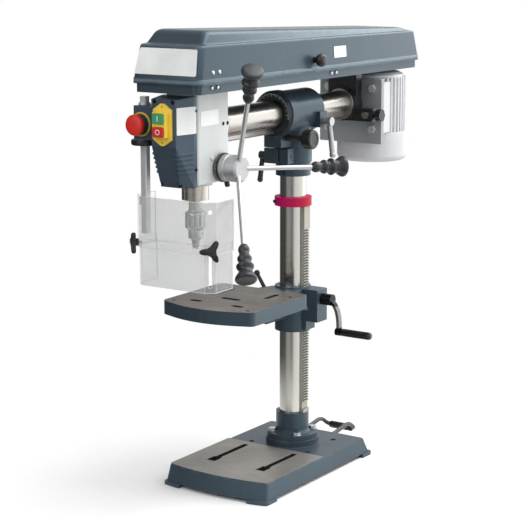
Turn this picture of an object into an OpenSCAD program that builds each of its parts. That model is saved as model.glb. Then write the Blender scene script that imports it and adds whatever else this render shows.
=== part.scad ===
// Radial arm drill: base and column, lifting table, swivelling saddle with a sliding ram,
// tilting drill head, belt case and motor. Millimetres, +Z up, X to the operator's right, Y to the rear.
// The origin is on the column axis, on the floor, in the middle of the four hold-down holes.

/* [Base and column] */
// Width of the base at the floor
base_w = 276; // [256:1:300]
// From the column axis to the front of the base, at the floor
base_front = 317; // [305:1:340]
// From the column axis to the back of the base, at the floor
base_back = 134; // [128:1:150]
// Height of the base plate
base_h = 43; // [42:1:55]
// Hold-down holes, left to right
hold_x = 152; // [140:1:160]
// Hold-down holes, front to back
hold_y = 114; // [110:1:130]
// Hold-down hole diameter
hold_d = 13; // [9:0.5:15]
// Distance between the two T-slots
slot_pitch = 132; // [120:1:140]
// Column diameter
column_d = 60; // [58:0.5:61]
// Height of the column's top end
column_top = 750; // [740:1:752]

/* [Table] */
// Width of the table
table_w = 235; // [220:1:250]
// From the column axis to the table's front edge
table_front = 342; // [332:1:350]
// Depth of the table from front to back
table_l = 225; // [210:1:235]
// Height of the table top
table_z = 425; // [405:1:430]
// Crank radius
crank_r = 71; // [60:1:80]

/* [Saddle and ram] */
// Ram diameter
ram_d = 62; // [60:0.5:63]
// Height of the ram axis
ram_z = 811; // [808:1:815]
// Outside diameter of the saddle's ram sleeve
sleeve_d = 98; // [92:1:104]
// Length of the saddle's ram sleeve
sleeve_l = 138; // [126:1:142]
// From the column axis to the rear end of the ram
ram_rear = 232; // [228:1:236]

/* [Drill head] */
// From the column axis to the spindle axis
reach = 376; // [370:1:390]
// Width of the head casting
head_w = 80; // [76:1:84]
// Quill diameter
quill_d = 57; // [54:0.5:58]
// Quill stroke
quill_stroke = 80; // [60:1:84]
// Feed lever length, from the feed axis to the tip
lever_l = 265; // [240:1:275]
// Lean of the feed levers away from the head, in degrees
lever_lean = 24.6; // [20:0.2:28]
// Width of the drill guard
guard_w = 202; // [190:1:206]

/* [Belt case and motor] */
// Width of the belt case
case_w = 160; // [158:1:172]
// Front of the belt case ahead of the spindle axis
case_front = 98; // [94:1:104]
// Height of the belt case's top above its floor, at the front
case_h = 125.5; // [122:0.5:134]
// Gap from the motor plate to the motor's fins
motor_gap = 11; // [8:1:14]
// Motor diameter over the fins
motor_d = 160; // [150:1:164]
// Travel of the motor for the belt tension
tension_travel = 12; // [8:1:12]

/* [Hidden] */
$fn = 64;

// Clearances: between parts that run on each other, that only pass, and between separate bodies
run = 0.05;
pass = 0.3;
apart = 0.5;
eps = 0.01;

blue = [0.46, 0.53, 0.57];
pale = [0.91, 0.92, 0.91];
dark = [0.16, 0.17, 0.18];
black = [0.06, 0.06, 0.06];
steel = [0.72, 0.73, 0.74];
iron = [0.45, 0.44, 0.43];

// Base
base_draft = 5;
base_front_draft = 11;
base_back_draft = 23;
base_bulge = 14;
base_corner = 7;
foot_front_l = 48;
foot_side_l = 42;
base_wall = 10;
base_top_t = 16;
lip_h = 8;
foot_relief = 8;
boss_d = 122;
boss_h = 14.6;
boss_z = base_h + boss_h;
ground_h = 3;
ground_back = 74;
slot_front = 236;
slot_back = 93;
slot_w = 13;
slot_t_w = 22;
slot_lip = 9;
slot_depth = 20;
slot_entry = 30;

// Carry handle
handle_x = 39;
handle_r = 6;
handle_z = 34;
handle_y0 = base_back - base_back_draft + 2;
handle_bend_y = base_back + 57;
handle_bend_z = handle_z + 11;
handle_bar_y = base_back + 88;
handle_bar_z = 23;
handle_grip_r = 10;

// Column, its flange and its collars
column_r = column_d / 2;
flange_d = 116;
flange_t = 12.4;
flange_top = boss_z + flange_t;
socket_d = 76;
socket_top = 117.6;
bolt_circle_r = 47.5;
bolt_r = 5;
collar_z0 = 599;
collar_z1 = 619;
collar_d = 84;

// Racks and gears: module, then the proportions of a tooth
lift_module = 2;
lift_teeth = 14;
lift_r = lift_module * lift_teeth / 2;
lift_pitch = PI * lift_module;
tooth_add = 0.9;
tooth_ded = 1.15;
tooth_pitch_half = 0.62;
tooth_slope = 0.36;

// Column rack, held between the flange socket and the collar
rack_w = 24;
rack_x1 = column_r + 8;
rack_z0 = socket_top + apart;
rack_z1 = collar_z0 - apart;
rack_pitch_x = rack_x1 - tooth_add * lift_module;
rack_plain_top = 58;
rack_plain_low = 16;

// Table
table_t = 30;
table_skin = 13;
table_bulge = 25;
table_corner = 15;
table_rear = table_front - table_l;
table_collar_d = 82;
table_collar_z0 = table_z - 114;
table_collar_z1 = table_z - 11;
table_neck_z = table_z - 14;
gear_x = rack_pitch_x + lift_r;
worm_z = table_z - 35;
worm_pitch_r = 8;
gear_z = worm_z - worm_pitch_r - lift_r;
worm_starts = 2;
worm_lead = worm_starts * lift_pitch;
worm_l = 22;
gear_w = 5;
journal_r = 7;
housing_x1 = 79;
housing_w = 42;
housing_z0 = table_z - 87;
housing_z1 = table_z - 13;
crank_hub_x0 = housing_x1 + apart;
crank_arm_x = 107;
crank_grip_x0 = 131;
crank_grip_l = 77;
crank_hub_r = 13;
crank_bar_w = 13;
crank_bar_t = 7;
crank_eye_r = 8.5;
crank_pin_r = 3.5;
table_lug_x = -49;
table_lug_z = table_z - 40;

// Saddle
ram_r = ram_d / 2;
sleeve_y0 = -84;
sleeve_y1 = sleeve_y0 + sleeve_l;
saddle_z0 = 668;
saddle_neck_d = 84;
saddle_lug_y = -50;
saddle_lug_z = 714;
ram_rack_w = 12;
ram_rack_z0 = ram_z - ram_r - 11;
ram_rack_z1 = ram_z - ram_r - pass;
ram_module = 1.5;
ram_teeth = 16;
ram_gear_r = ram_module * ram_teeth / 2;
ram_pitch = PI * ram_module;
ram_pinion_y = -58;
ram_pinion_z = ram_rack_z0 + tooth_add * ram_module - ram_gear_r;
ram_boss_x0 = -27;
ram_stub_x = -24;
ram_boss_x1 = 18;
ram_knob_x0 = 68;
ram_knob_x1 = 92;
ram_clamp_y = 34;
ram_clamp_z = ram_z - 22;

// Head
spindle_y = -reach;
head_y0 = spindle_y - 48;
head_y1 = spindle_y + 68;
head_z0 = 697;
head_z1 = 885.5;
quill_r = quill_d / 2;
quill_z0 = 660;
quill_z1 = 858;
feed_z = 726;
feed_module = 2;
feed_teeth = 10;
feed_r = feed_module * feed_teeth / 2;
feed_pitch = PI * feed_module;
feed_y = spindle_y + 35;
quill_pitch_y = feed_y - feed_r;
spindle_r = 10;
bearing_r = 18;
bearing_l = 14;
spline_w = 5;
spline_r = 11.5;
spindle_top = 968;
shank_r = 3;
jaw_l = 40;
ring_x0 = head_w / 2 + 4;
ring_x1 = ring_x0 + 6;
hub_x1 = 95;
lever_root_x = 83;
spring_shaft_r = 5.5;
cap_r = 28;
cap_wall = 3;
lever_angles = [116.7, -3.3, -123.3];
lever_rod_r = 5;
lever_seat = 14;
// Ribbed grips: rings given as [distance from the neck, radius]
grip_l = 84;
grip_cap = 12;
grip_end_r = 21.5;
grip_waves = [[0, 5.8], [3, 7.4], [8, 9.8], [12.5, 10.8], [16.5, 9.9], [21, 8.2], [25, 10], [31, 14.2],
    [35.5, 13], [40, 9.9], [44, 12], [49, 17.6], [54, 15.8], [59, 12.1], [64, 13.6], [70, 17.4], [75, 20.5]];

// Front cover, switch and emergency stop
cover_y = spindle_y - 107;
cover_top = 879;
cover_knee = 780;
cover_wall = 3;
cover_foot = 693;
cover_screw_x = 22.5;
cover_screw_r = 4.5;
rib_n = 5;
rib_z0 = 724;
rib_pitch = 9.5;
rib_w = 4;
rib_proud = 1.5;
plate_y0 = cover_y - 17;
plate_t = 4.5;
plate_shoulder = 12.5;
plate_apex = 4;
block_w = 31;
block_rim = 2.5;
plate_w = 46;
plate_z0 = 782;
plate_z1 = 867;
start_z = 838;
stop_z = 811;
button_w = 27;
button_h = 20;
button_round = 2.5;
button_proud = 3.5;
button_stem_r = 5;
estop_x = -74;
estop_z = 819;
estop_r = 21.5;
estop_travel = 5;
box_x0 = -96.5;
box_x1 = -(head_w / 2 + 0.2);
box_y0 = spindle_y - 83;
box_y1 = spindle_y - 36;
box_z0 = 787;
box_z1 = 856;

// Guard
rod_x = -83;
rod_y = spindle_y - 60;
rod_w = 16;
rod_chamfer = 2.5;
rod_z0 = 590;
rod_z1 = 874;
guard_y0 = spindle_y - 85;
guard_y1 = spindle_y - 6;
guard_cut = 19;
guard_t = 2.5;
guard_z0 = 563;
guard_z1 = 670;
shield_z0 = 483;
shield_z1 = 582;
shield_in = guard_t + 0.6;
shield_travel = 55;
guard_knob_z = 572;
guard_face_x = guard_w / 2 - guard_cut / 2;
guard_face_y = guard_y0 + guard_cut / 2;

// Motor and its slide
bracket_y0 = ram_rear - 25;
bracket_y1 = ram_rear + 4;
plate_y = bracket_y1 + tension_travel + 2;
motor_plate_t = 12;
motor_plate_w = 168;
motor_plate_z0 = 716;
motor_plate_z1 = 868;
motor_bolt_x = 60;
motor_bolt_zs = [motor_plate_z0 + 34, motor_plate_z1 - 22];
motor_bolt_r = 5;
slide_x = 66;
slide_z = 787;
slide_r = 8;
motor_r = motor_d / 2;
motor_y = plate_y + motor_plate_t + motor_gap + motor_r;
motor_z0 = 728;
motor_z1 = 866;
motor_pad_w = 140;
stator_r = 48;
stator_z0 = motor_z0 - 8;
stator_z1 = motor_z1 - 16;
rotor_r = stator_r - 4;
cowl_r = motor_r + 4;
cowl_z0 = 666;
cowl_z1 = motor_z0 + 9;
cowl_round = 14;
cowl_t = 3;
fan_r = 62;
fan_hub_r = 20;
fan_z0 = cowl_z0 + 14;
fan_z1 = cowl_z0 + 34;
shaft_r = 9.5;

// Pulleys and belt
pulley_r = [66, 58, 50, 42, 34];
pulley_z0 = head_z1 + 8.5;
pulley_hub_r = 17;
pulley_hub_z0 = head_z1 - 17.5;
hub_bore_z0 = pulley_hub_z0 - 8;
pulley_step = 12.5;
belt_step = 1;
belt_w = 9;
belt_h = 7;
belt_z = pulley_z0 + (belt_step + 0.5) * pulley_step;
belt_r_spindle = pulley_r[belt_step] - belt_h;
belt_r_motor = pulley_r[4 - belt_step] - belt_h;

// Belt case
case_z0 = head_z1 + apart;
case_rear = 10;
case_y0 = spindle_y - case_front;
case_y1 = motor_y + pulley_r[0] + case_rear;
case_x = case_w / 2;
tray_h = 21;
sheet = 2.5;
flange_out = 6;
lid_z0 = case_z0 + tray_h + pass;
lid_lip = 8;
tier_z = case_z0 + 96;
tier_drop = 9;
ledge_x = 6.6;
lid_top = case_z0 + case_h;
lid_rear_top = lid_top - 28;
hinge_x = -case_x - flange_out - 4;
hinge_z = lid_z0 + 4;
hinge_r = 4;
hinge_pin_r = 2;
hinge_ys = [case_y0 + 150, case_y1 - 150];
hinge_l = 40;
lid_knob_y = -45;
lid_knob_z = lid_z0 + 24;
lid_side_lean = 4.3;
lid_knob_rise = (lid_knob_z - 7 - lid_z0 - lid_lip) / (tier_z - lid_z0 - lid_lip);
lid_knob_x = case_x + flange_out - 2 - lid_side_lean * lid_knob_rise + pass;
knob_shank_r = 4;

// A list of points along an arc
function arc(cx, cy, r, a0, a1, n = 6) =
    [for (i = [0:n]) let (a = a0 + (a1 - a0) * i / n) [cx + r * cos(a), cy + r * sin(a)]];

// Plan of a plate with rounded corners and a bowed front edge
function plan(w, front, back, bulge, r) = concat(
    arc(w / 2 - r, back - r, r, 0, 90),
    arc(-w / 2 + r, back - r, r, 90, 180),
    arc(-w / 2 + r, -front + r, r, 180, 255),
    [for (i = [1:9]) let (t = i / 5 - 1) [t * (w / 2 - r), -front - bulge * (1 - t * t)]],
    arc(w / 2 - r, -front + r, r, 285, 360));

// Outline of a gear, with a tooth on the +X axis
function gear_points(n, m) = let (
    rp = n * m / 2,
    tip = tooth_pitch_half * m - tooth_add * m * tooth_slope,
    root = tooth_pitch_half * m + tooth_ded * m * tooth_slope,
    ro = rp + tooth_add * m,
    ri = rp - tooth_ded * m,
    at = asin(tip / ro),
    ar = asin(root / ri))
    [for (i = [0:n - 1]) let (a = 360 / n * i) each [
        [ri * cos(a - ar), ri * sin(a - ar)], [ro * cos(a - at), ro * sin(a - at)],
        [ro * cos(a + at), ro * sin(a + at)], [ri * cos(a + ar), ri * sin(a + ar)]]];

// Profile of one rack tooth: length along y, height along x from the pitch line
function tooth_points(m) = let (
    tip = tooth_pitch_half * m - tooth_add * m * tooth_slope,
    root = tooth_pitch_half * m + tooth_ded * m * tooth_slope)
    [[-tooth_ded * m, -root], [tooth_add * m, -tip], [tooth_add * m, tip], [-tooth_ded * m, root]];

module box(x0, x1, y0, y1, z0, z1) {
    translate([x0, y0, z0]) cube([x1 - x0, y1 - y0, z1 - z0]);
}

module zcyl(r, z0, z1) {
    translate([0, 0, z0]) cylinder(r = r, h = z1 - z0);
}

module xcyl(r, x0, x1, y, z) {
    translate([x0, y, z]) rotate([0, 90, 0]) cylinder(r = r, h = x1 - x0);
}

module ycyl(r, y0, y1, x, z) {
    translate([x, y0, z]) rotate([-90, 0, 0]) cylinder(r = r, h = y1 - y0);
}

// A round bar from one point to another, plain or tapered
module bar(a, b, r1, r2) {
    v = b - a;
    translate(a) rotate([0, acos(v[2] / norm(v)), atan2(v[1], v[0])])
        cylinder(r1 = r1, r2 = r2, h = norm(v));
}

// A rectangle with round corners
module round_rect(x0, x1, y0, y1, r) {
    translate([x0 + r, y0]) square([x1 - x0 - 2 * r, y1 - y0]);
    translate([x0, y0 + r]) square([x1 - x0, y1 - y0 - 2 * r]);
    for (x = [x0 + r, x1 - r], y = [y0 + r, y1 - r]) translate([x, y]) circle(r);
}

// A hexagon head with its underside on z = 0
module hex_head(across, h) {
    cylinder(d = across / cos(30), h = h, $fn = 6);
}

// Base casting
module base_shape(inset, z0, z1) {
    hull() {
        translate([0, 0, z0]) linear_extrude(eps)
            polygon(plan(base_w - 2 * inset, base_front - inset, base_back - inset, base_bulge, base_corner));
        translate([0, 0, z1 - eps]) linear_extrude(eps)
            polygon(plan(base_w - 2 * (base_draft + inset), base_front - base_front_draft - inset,
                base_back - base_back_draft - inset, base_bulge, base_corner));
    }
}

module t_slot(x) {
    z1 = base_h + ground_h;
    box(x - slot_w / 2, x + slot_w / 2, -slot_front, -slot_back, z1 - slot_depth, z1 + eps);
    box(x - slot_t_w / 2, x + slot_t_w / 2, -slot_front, -slot_back, z1 - slot_depth, z1 - slot_lip);
    box(x - slot_t_w / 2, x + slot_t_w / 2, -slot_front, -slot_front + slot_entry, z1 - slot_depth,
        z1 + eps);
}

module base_casting() {
    color(blue) difference() {
        union() {
            difference() {
                union() {
                    base_shape(3, 0, base_h);
                    linear_extrude(lip_h)
                        polygon(plan(base_w, base_front, base_back, base_bulge, base_corner + 2));
                }
                translate([0, 0, -eps]) base_shape(base_wall, 0, base_h - base_top_t);
            }
            zcyl(boss_d / 2, 10, boss_z);
            for (x = [-1, 1]) {
                box(x * slot_pitch / 2 - 20, x * slot_pitch / 2 + 20, -slot_front - 8, -slot_back + 8,
                    base_h - 32, base_h - base_top_t + 2);
                for (y = [-1, 1]) translate([x * hold_x / 2, y * hold_y / 2, 0]) zcyl(16, 0, base_h - 2);
            }
            translate([0, 0, base_h - 2]) linear_extrude(2 + ground_h)
                difference() {
                    polygon(plan(base_w - 2 * base_draft - 7, base_front - base_front_draft - 3.5, 0,
                        base_bulge, base_corner));
                    translate([-base_w, -ground_back]) square([2 * base_w, 2 * base_back]);
                }
        }
        for (x = [-1, 1]) {
            t_slot(x * slot_pitch / 2);
            for (y = [-1, 1]) translate([x * hold_x / 2, y * hold_y / 2, 0]) zcyl(hold_d / 2, -eps,
                base_h + eps);
        }
        for (a = [45:90:315]) rotate([0, 0, a]) translate([bolt_circle_r, 0, 0]) zcyl(bolt_r + run, 20,
            boss_z + eps);
        zcyl(column_r + run, 30, boss_z + eps);
        for (x = [-handle_x, handle_x]) bar([x, handle_y0 - run, handle_z], [x, handle_bend_y, handle_bend_z],
            handle_r + run, handle_r + run);
        box(-base_w / 2 + foot_front_l, base_w / 2 - foot_front_l, -base_front - base_bulge - 10,
            -base_front + 60, -eps, foot_relief);
        for (x = [-base_w / 2 - 10, base_w / 2 - 30])
            box(x, x + 40, -base_front + foot_side_l, base_back - foot_side_l, -eps, foot_relief);
    }
}

// Flange that clamps the foot of the column
module column_flange() {
    color(blue) difference() {
        union() {
            zcyl(flange_d / 2, boss_z, flange_top);
            translate([0, 0, flange_top - eps])
                rotate_extrude() polygon([[0, 0], [socket_d / 2 + 5, 0], [socket_d / 2, 6], [0, 6]]);
            zcyl(socket_d / 2, flange_top, socket_top);
        }
        zcyl(column_r + run, boss_z - eps, socket_top + eps);
        for (a = [45:90:315]) rotate([0, 0, a]) translate([bolt_circle_r, 0, 0])
            zcyl(bolt_r + run, boss_z - eps, flange_top + eps);
        for (a = [45:90:315]) rotate([0, 0, a]) translate([bolt_circle_r, 0, 0])
            zcyl(11, flange_top, flange_top + 10);
    }
}

module flange_bolts() {
    color(steel) for (a = [45:90:315]) rotate([0, 0, a]) translate([bolt_circle_r, 0, 0]) {
        zcyl(bolt_r, 24, flange_top + eps);
        translate([0, 0, flange_top]) hex_head(16, 7);
    }
}

// Hollow column, open at the foot
module column() {
    color(steel) difference() {
        zcyl(column_r, 30, column_top);
        zcyl(column_r - 6, 30 - eps, column_top - 8);
    }
}

// Collar that holds the top of the rack
module rack_collar() {
    color([0.76, 0.12, 0.36]) difference() {
        zcyl(collar_d / 2, collar_z0, collar_z1);
        zcyl(column_r + run, collar_z0 - eps, collar_z1 + eps);
        translate([0, 0, (collar_z0 + collar_z1) / 2]) rotate([0, 0, 235]) rotate([0, 90, 0])
            cylinder(r = 4, h = collar_d);
    }
}

// Carry handle at the back of the base: a bent bar with a grip sleeve
module carry_handle() {
    color(steel) {
        for (s = [-1, 1]) {
            root = [s * handle_x, handle_y0, handle_z];
            bend = [s * handle_x, handle_bend_y, handle_bend_z];
            bar(root, bend, handle_r, handle_r);
            bar(bend, [s * handle_x, handle_bar_y, handle_bar_z], handle_r, handle_r);
            translate(bend) sphere(handle_r + 0.4);
            translate([s * handle_x, handle_bar_y, handle_bar_z]) sphere(handle_r + 0.4);
        }
        xcyl(handle_r, -handle_x, handle_x, handle_bar_y, handle_bar_z);
    }
}

module carry_handle_grip() {
    color(black) difference() {
        xcyl(handle_grip_r, -handle_x + 8, handle_x - 8, handle_bar_y, handle_bar_z);
        xcyl(handle_r + run, -handle_x, handle_x, handle_bar_y, handle_bar_z);
    }
}

// Toothed rack along the column, which swings round with the table
module table_rack() {
    tooth_n = floor((rack_z1 - rack_plain_top - rack_z0 - rack_plain_low) / lift_pitch / 2) * 2;
    root_x = rack_pitch_x - tooth_ded * lift_module;
    low = floor((gear_z - rack_z0 - rack_plain_low) / lift_pitch - 0.5);
    color(steel) {
        difference() {
            box(column_r - 2, root_x, -rack_w / 2, rack_w / 2, rack_z0, rack_z1);
            zcyl(column_r + run, rack_z0 - 1, rack_z1 + 1);
        }
        for (i = [-low:tooth_n - low - 1]) translate([rack_pitch_x, rack_w / 2,
            gear_z + (i + 0.5) * lift_pitch])
            rotate([90, 0, 0]) linear_extrude(rack_w) polygon(tooth_points(lift_module));
        box(root_x - 1, rack_x1, -rack_w / 2, rack_w / 2, rack_z1 - rack_plain_top + 6, rack_z1);
        box(root_x - 1, rack_x1, -rack_w / 2, rack_w / 2, rack_z0, rack_z0 + 8);
    }
}

// Work table: plate, neck, split collar and gear housing in one casting
module table_slot(x0, x1, y0, y1) {
    translate([0, 0, table_z - table_t]) linear_extrude(table_t + eps) round_rect(x0, x1, y0, y1, 6.4);
}

module work_table() {
    z0 = table_z - table_t;
    mid_y = -(table_front + table_rear) / 2;
    color(blue) difference() {
        union() {
            difference() {
                translate([0, 0, z0]) linear_extrude(table_t)
                    polygon(plan(table_w, table_front, -table_rear, table_bulge, table_corner));
                translate([0, 0, z0 - eps]) linear_extrude(table_t - table_skin)
                    polygon(plan(table_w - 20, table_front - 10, -table_rear - 10, table_bulge, 8));
            }
            for (s = [-1, 1]) box(s * 33 - 4, s * 33 + 4, -table_front - 8, -table_rear - 5, z0 + 4,
                table_z - 5);
            translate([0, 0, z0]) linear_extrude(table_neck_z - z0) polygon([[-76, -table_rear - 5],
                [76, -table_rear - 5], [38, -20], [-38, -20]]);
            translate([0, 0, table_collar_z0 + 34]) linear_extrude(z0 - table_collar_z0 - 33)
                polygon([[-9, -table_rear - 4], [9, -table_rear - 4], [9, -20], [-9, -20]]);
            zcyl(table_collar_d / 2, table_collar_z0, table_collar_z1);
            box(20, housing_x1, -housing_w / 2, housing_w / 2, housing_z0, housing_z1);
            box(20, rack_x1 + 10, -rack_w / 2 - 7, rack_w / 2 + 7, table_collar_z0 + 5, housing_z0 + 1);
            xcyl(15, housing_x1 - 1, housing_x1 + 0.01, 0, worm_z);
            box(table_lug_x - 12, -30, -18, 18, table_lug_z - 16, table_lug_z + 16);
        }
        zcyl(column_r + run, table_collar_z0 - eps, table_collar_z1 + eps);
        box(column_r - 5, rack_x1 + pass, -rack_w / 2 - pass, rack_w / 2 + pass, table_collar_z0 - eps,
            table_collar_z1 + eps);
        box(table_lug_x - 20, -20, -2, 2, table_collar_z0 - eps, table_collar_z1 + eps);
        ycyl(6 + run, -20, 20, table_lug_x, table_lug_z);
        ycyl(lift_r + tooth_add * lift_module + 1, -rack_w / 2 - pass, rack_w / 2 + pass, gear_x, gear_z);
        ycyl(5 + run, -housing_w / 2 - eps, housing_w / 2 + eps, gear_x, gear_z);
        xcyl(11.5, rack_x1 - 1, gear_x + worm_l / 2 + 3, 0, worm_z);
        xcyl(journal_r + run, rack_x1, housing_x1 + 1, 0, worm_z);
        table_slot(-24, 24, mid_y - 26, mid_y - 12);
        for (s = [-1, 1]) {
            table_slot(s * 54 - 15, s * 54 + 15, -table_front + 33, -table_front + 46);
            table_slot(s * 60 - 6.5, s * 60 + 6.5, -table_rear - 88, -table_rear - 38);
            for (y = [-table_front + 16, -table_rear - 44]) translate([s * (table_w / 2 - 21), y,
                z0]) zcyl(4.5, -eps, table_t + eps);
        }
    }
}

// Lifting gear on its axle, between the worm and the rack
module lift_gear() {
    color(iron) {
        translate([gear_x, gear_w / 2, gear_z]) rotate([90, 0, 0]) linear_extrude(gear_w)
            rotate(180) polygon(gear_points(lift_teeth, lift_module));
        ycyl(5, -housing_w / 2, housing_w / 2, gear_x, gear_z);
    }
}

// Worm shaft that carries the crank
module crank_shaft() {
    worm_x0 = gear_x - worm_l / 2;
    thread_tip = 0.55;
    thread_root = 1.55;
    journal_x0 = worm_x0 + worm_l + 4;
    ro = worm_pitch_r + tooth_add * lift_module;
    ri = worm_pitch_r - tooth_ded * lift_module;
    lobe = 360 / worm_lead;
    color(steel) {
        translate([worm_x0, 0, worm_z]) rotate([0, 90, 0]) rotate([0, 0,
            360 * (worm_l / 2) / worm_lead * -1])
            linear_extrude(worm_l, twist = -360 * worm_l / worm_lead, slices = 24, $fn = 18)
            polygon([for (k = [0:worm_starts - 1]) let (a = k * 360 / worm_starts) each concat(
                arc(0, 0, ro, a - thread_tip * lobe, a + thread_tip * lobe, 3),
                arc(0, 0, ri, a + thread_root * lobe, a + 360 / worm_starts - thread_root * lobe, 4))]);
        xcyl(ri - 0.7, worm_x0 + worm_l - 1, journal_x0 + 1, 0, worm_z);
        xcyl(journal_r, journal_x0, crank_arm_x - 2, 0, worm_z);
    }
}

// Cranked arm: a hub, a bowed flat bar and an eye that holds the grip's pin
module crank_arm() {
    start = [crank_arm_x - 5, worm_z - 2];
    bow = [crank_grip_x0 - 4, worm_z - 15];
    end = [crank_grip_x0 - 7, worm_z - crank_r];
    function point(t) = start * (1 - t) * (1 - t) + bow * 2 * t * (1 - t) + end * t * t;
    function normal(t) = let (v = (bow - start) * (1 - t) + (end - bow) * t) [-v[1], v[0]] / norm(v);
    color(black) difference() {
        union() {
            xcyl(crank_hub_r, crank_hub_x0 + 2, crank_arm_x, 0, worm_z);
            translate([0, crank_bar_w / 2, 0]) rotate([90, 0,
                0]) linear_extrude(crank_bar_w) polygon(concat(
                [for (t = [0:0.1:1]) point(t) + normal(t) * crank_bar_t / 2],
                [for (t = [1:-0.1:0]) point(t) - normal(t) * crank_bar_t / 2]));
            xcyl(crank_eye_r, crank_grip_x0 - 14, crank_grip_x0 - apart, 0, worm_z - crank_r);
            xcyl(crank_pin_r, crank_grip_x0 - 2, crank_grip_x0 + crank_grip_l - 3, 0, worm_z - crank_r);
        }
        xcyl(journal_r + run, crank_hub_x0, crank_arm_x - 2, 0, worm_z);
    }
}

module crank_grip() {
    color(black) difference() {
        translate([crank_grip_x0, 0, worm_z - crank_r]) rotate([0, 90, 0]) rotate_extrude()
            polygon([[0, 0], [7.5, 0], [8.5, 3], [8.5, crank_grip_l - 4], [7, crank_grip_l - 1], [5,
                crank_grip_l], [0, crank_grip_l]]);
        xcyl(crank_pin_r + run, crank_grip_x0 - 1, crank_grip_x0 + crank_grip_l - 2, 0, worm_z - crank_r);
    }
}

// Clamp screw of the table collar, with its lever
module table_clamp_lever() {
    color(black) {
        ycyl(6, -19, 18, table_lug_x, table_lug_z);
        ycyl(10, -30, -18 - pass, table_lug_x, table_lug_z);
        bar([table_lug_x, -25, table_lug_z], [table_lug_x - 30, -29, table_lug_z + 52], 5, 4);
        translate([table_lug_x - 30, -29, table_lug_z + 52]) sphere(7);
    }
}

// Saddle: a socket on the column with the ram's sleeve across its top
module saddle_casting() {
    key_z = ram_rack_z0 - tooth_ded * ram_module - 0.7;
    color(blue) difference() {
        union() {
            zcyl(39.5, saddle_z0, ram_z - 20);
            zcyl(saddle_neck_d / 2, saddle_z0 + 30, ram_z - 20);
            ycyl(sleeve_d / 2, sleeve_y0, sleeve_y1, 0, ram_z);
            ycyl(sleeve_d / 2 + 3, sleeve_y0 + 4, sleeve_y0 + 24, 0, ram_z);
            box(-39, 24, -60, -20, saddle_z0 + 30, 732);
            box(ram_boss_x0, ram_boss_x1, sleeve_y0 + 6, -30, ram_pinion_z - 22, ram_z - 30);
            box(20, 59, ram_clamp_y - 15, ram_clamp_y + 15, ram_clamp_z - 13, ram_clamp_z + 22);
            box(-26, 26, 20, sleeve_y1 - 12, 742, ram_z - 30);
        }
        zcyl(column_r + run, saddle_z0 - eps, column_top + pass);
        ycyl(ram_r + run, sleeve_y0 - eps, sleeve_y1 + eps, 0, ram_z);
        box(-ram_rack_w / 2 - pass, ram_rack_w / 2 + pass, sleeve_y0 - eps, sleeve_y1 + eps, key_z, ram_z);
        xcyl(ram_gear_r + 3, -9.5, 9.5, ram_pinion_y, ram_pinion_z);
        xcyl(7 + run, -9, ram_boss_x1 + eps, ram_pinion_y, ram_pinion_z);
        xcyl(7 + pass, ram_boss_x1, ram_knob_x0, ram_pinion_y, ram_pinion_z);
        xcyl(5 + run, ram_stub_x - 1, -8, ram_pinion_y, ram_pinion_z);
        box(-2, 2, -70, -20, saddle_z0 - eps, 733);
        xcyl(5 + run, -40, 25, saddle_lug_y, saddle_lug_z);
        xcyl(6 + run, 20, 60, ram_clamp_y, ram_clamp_z);
    }
}

// Graduated ring for the head's tilt, on the front face of the sleeve
module tilt_scale_ring() {
    color(steel) difference() {
        ycyl(sleeve_d / 2 - 1, sleeve_y0 - 5, sleeve_y0, 0, ram_z);
        ycyl(ram_r + 3, sleeve_y0 - 6, sleeve_y0 + 1, 0, ram_z);
        box(-ram_rack_w / 2 - 1, ram_rack_w / 2 + 1, sleeve_y0 - 6, sleeve_y0 + 1, ram_rack_z0 - 5, ram_z);
    }
}

module saddle_clamp_lever() {
    x0 = -39 - pass;
    color(black) {
        xcyl(5, x0, 23, saddle_lug_y, saddle_lug_z);
        xcyl(9, x0 - 16, x0, saddle_lug_y, saddle_lug_z);
        bar([x0 - 10, saddle_lug_y, saddle_lug_z], [x0 - 17, saddle_lug_y, saddle_lug_z - 56], 5, 6);
        translate([x0 - 17, saddle_lug_y, saddle_lug_z - 56]) sphere(6.5);
    }
}

// Pinion shaft of the ram, with its turning knob
module ram_pinion_shaft() {
    color(steel) {
        translate([-8, ram_pinion_y, ram_pinion_z]) rotate([90, 0, 90]) linear_extrude(16)
            rotate(90) polygon(gear_points(ram_teeth, ram_module));
        xcyl(5, ram_stub_x, -7, ram_pinion_y, ram_pinion_z);
        xcyl(7, 7, ram_knob_x0 + 14, ram_pinion_y, ram_pinion_z);
    }
}

module ram_knob() {
    color(black) translate([ram_knob_x0, ram_pinion_y, ram_pinion_z]) rotate([0, 90, 0])
        difference() {
            union() {
                linear_extrude(ram_knob_x1 - ram_knob_x0 - 4) difference() {
                    circle(21.5);
                    for (a = [0:45:315]) rotate(a) translate([25, 0]) circle(5);
                }
                cylinder(r = 18, h = ram_knob_x1 - ram_knob_x0);
            }
            translate([0, 0, -eps]) cylinder(r = 7 + run, h = 14.2);
        }
}

module ram_clamp_lever() {
    x0 = 59 + pass;
    color(steel) {
        xcyl(6, ram_r + 1.5, x0, ram_clamp_y, ram_clamp_z);
        xcyl(10, x0, x0 + 22, ram_clamp_y, ram_clamp_z);
        bar([x0 + 14, ram_clamp_y, ram_clamp_z], [x0 + 24, ram_clamp_y, ram_clamp_z - 74], 5.5, 6.5);
        translate([x0 + 24, ram_clamp_y, ram_clamp_z - 74]) sphere(7.5);
    }
}

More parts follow.
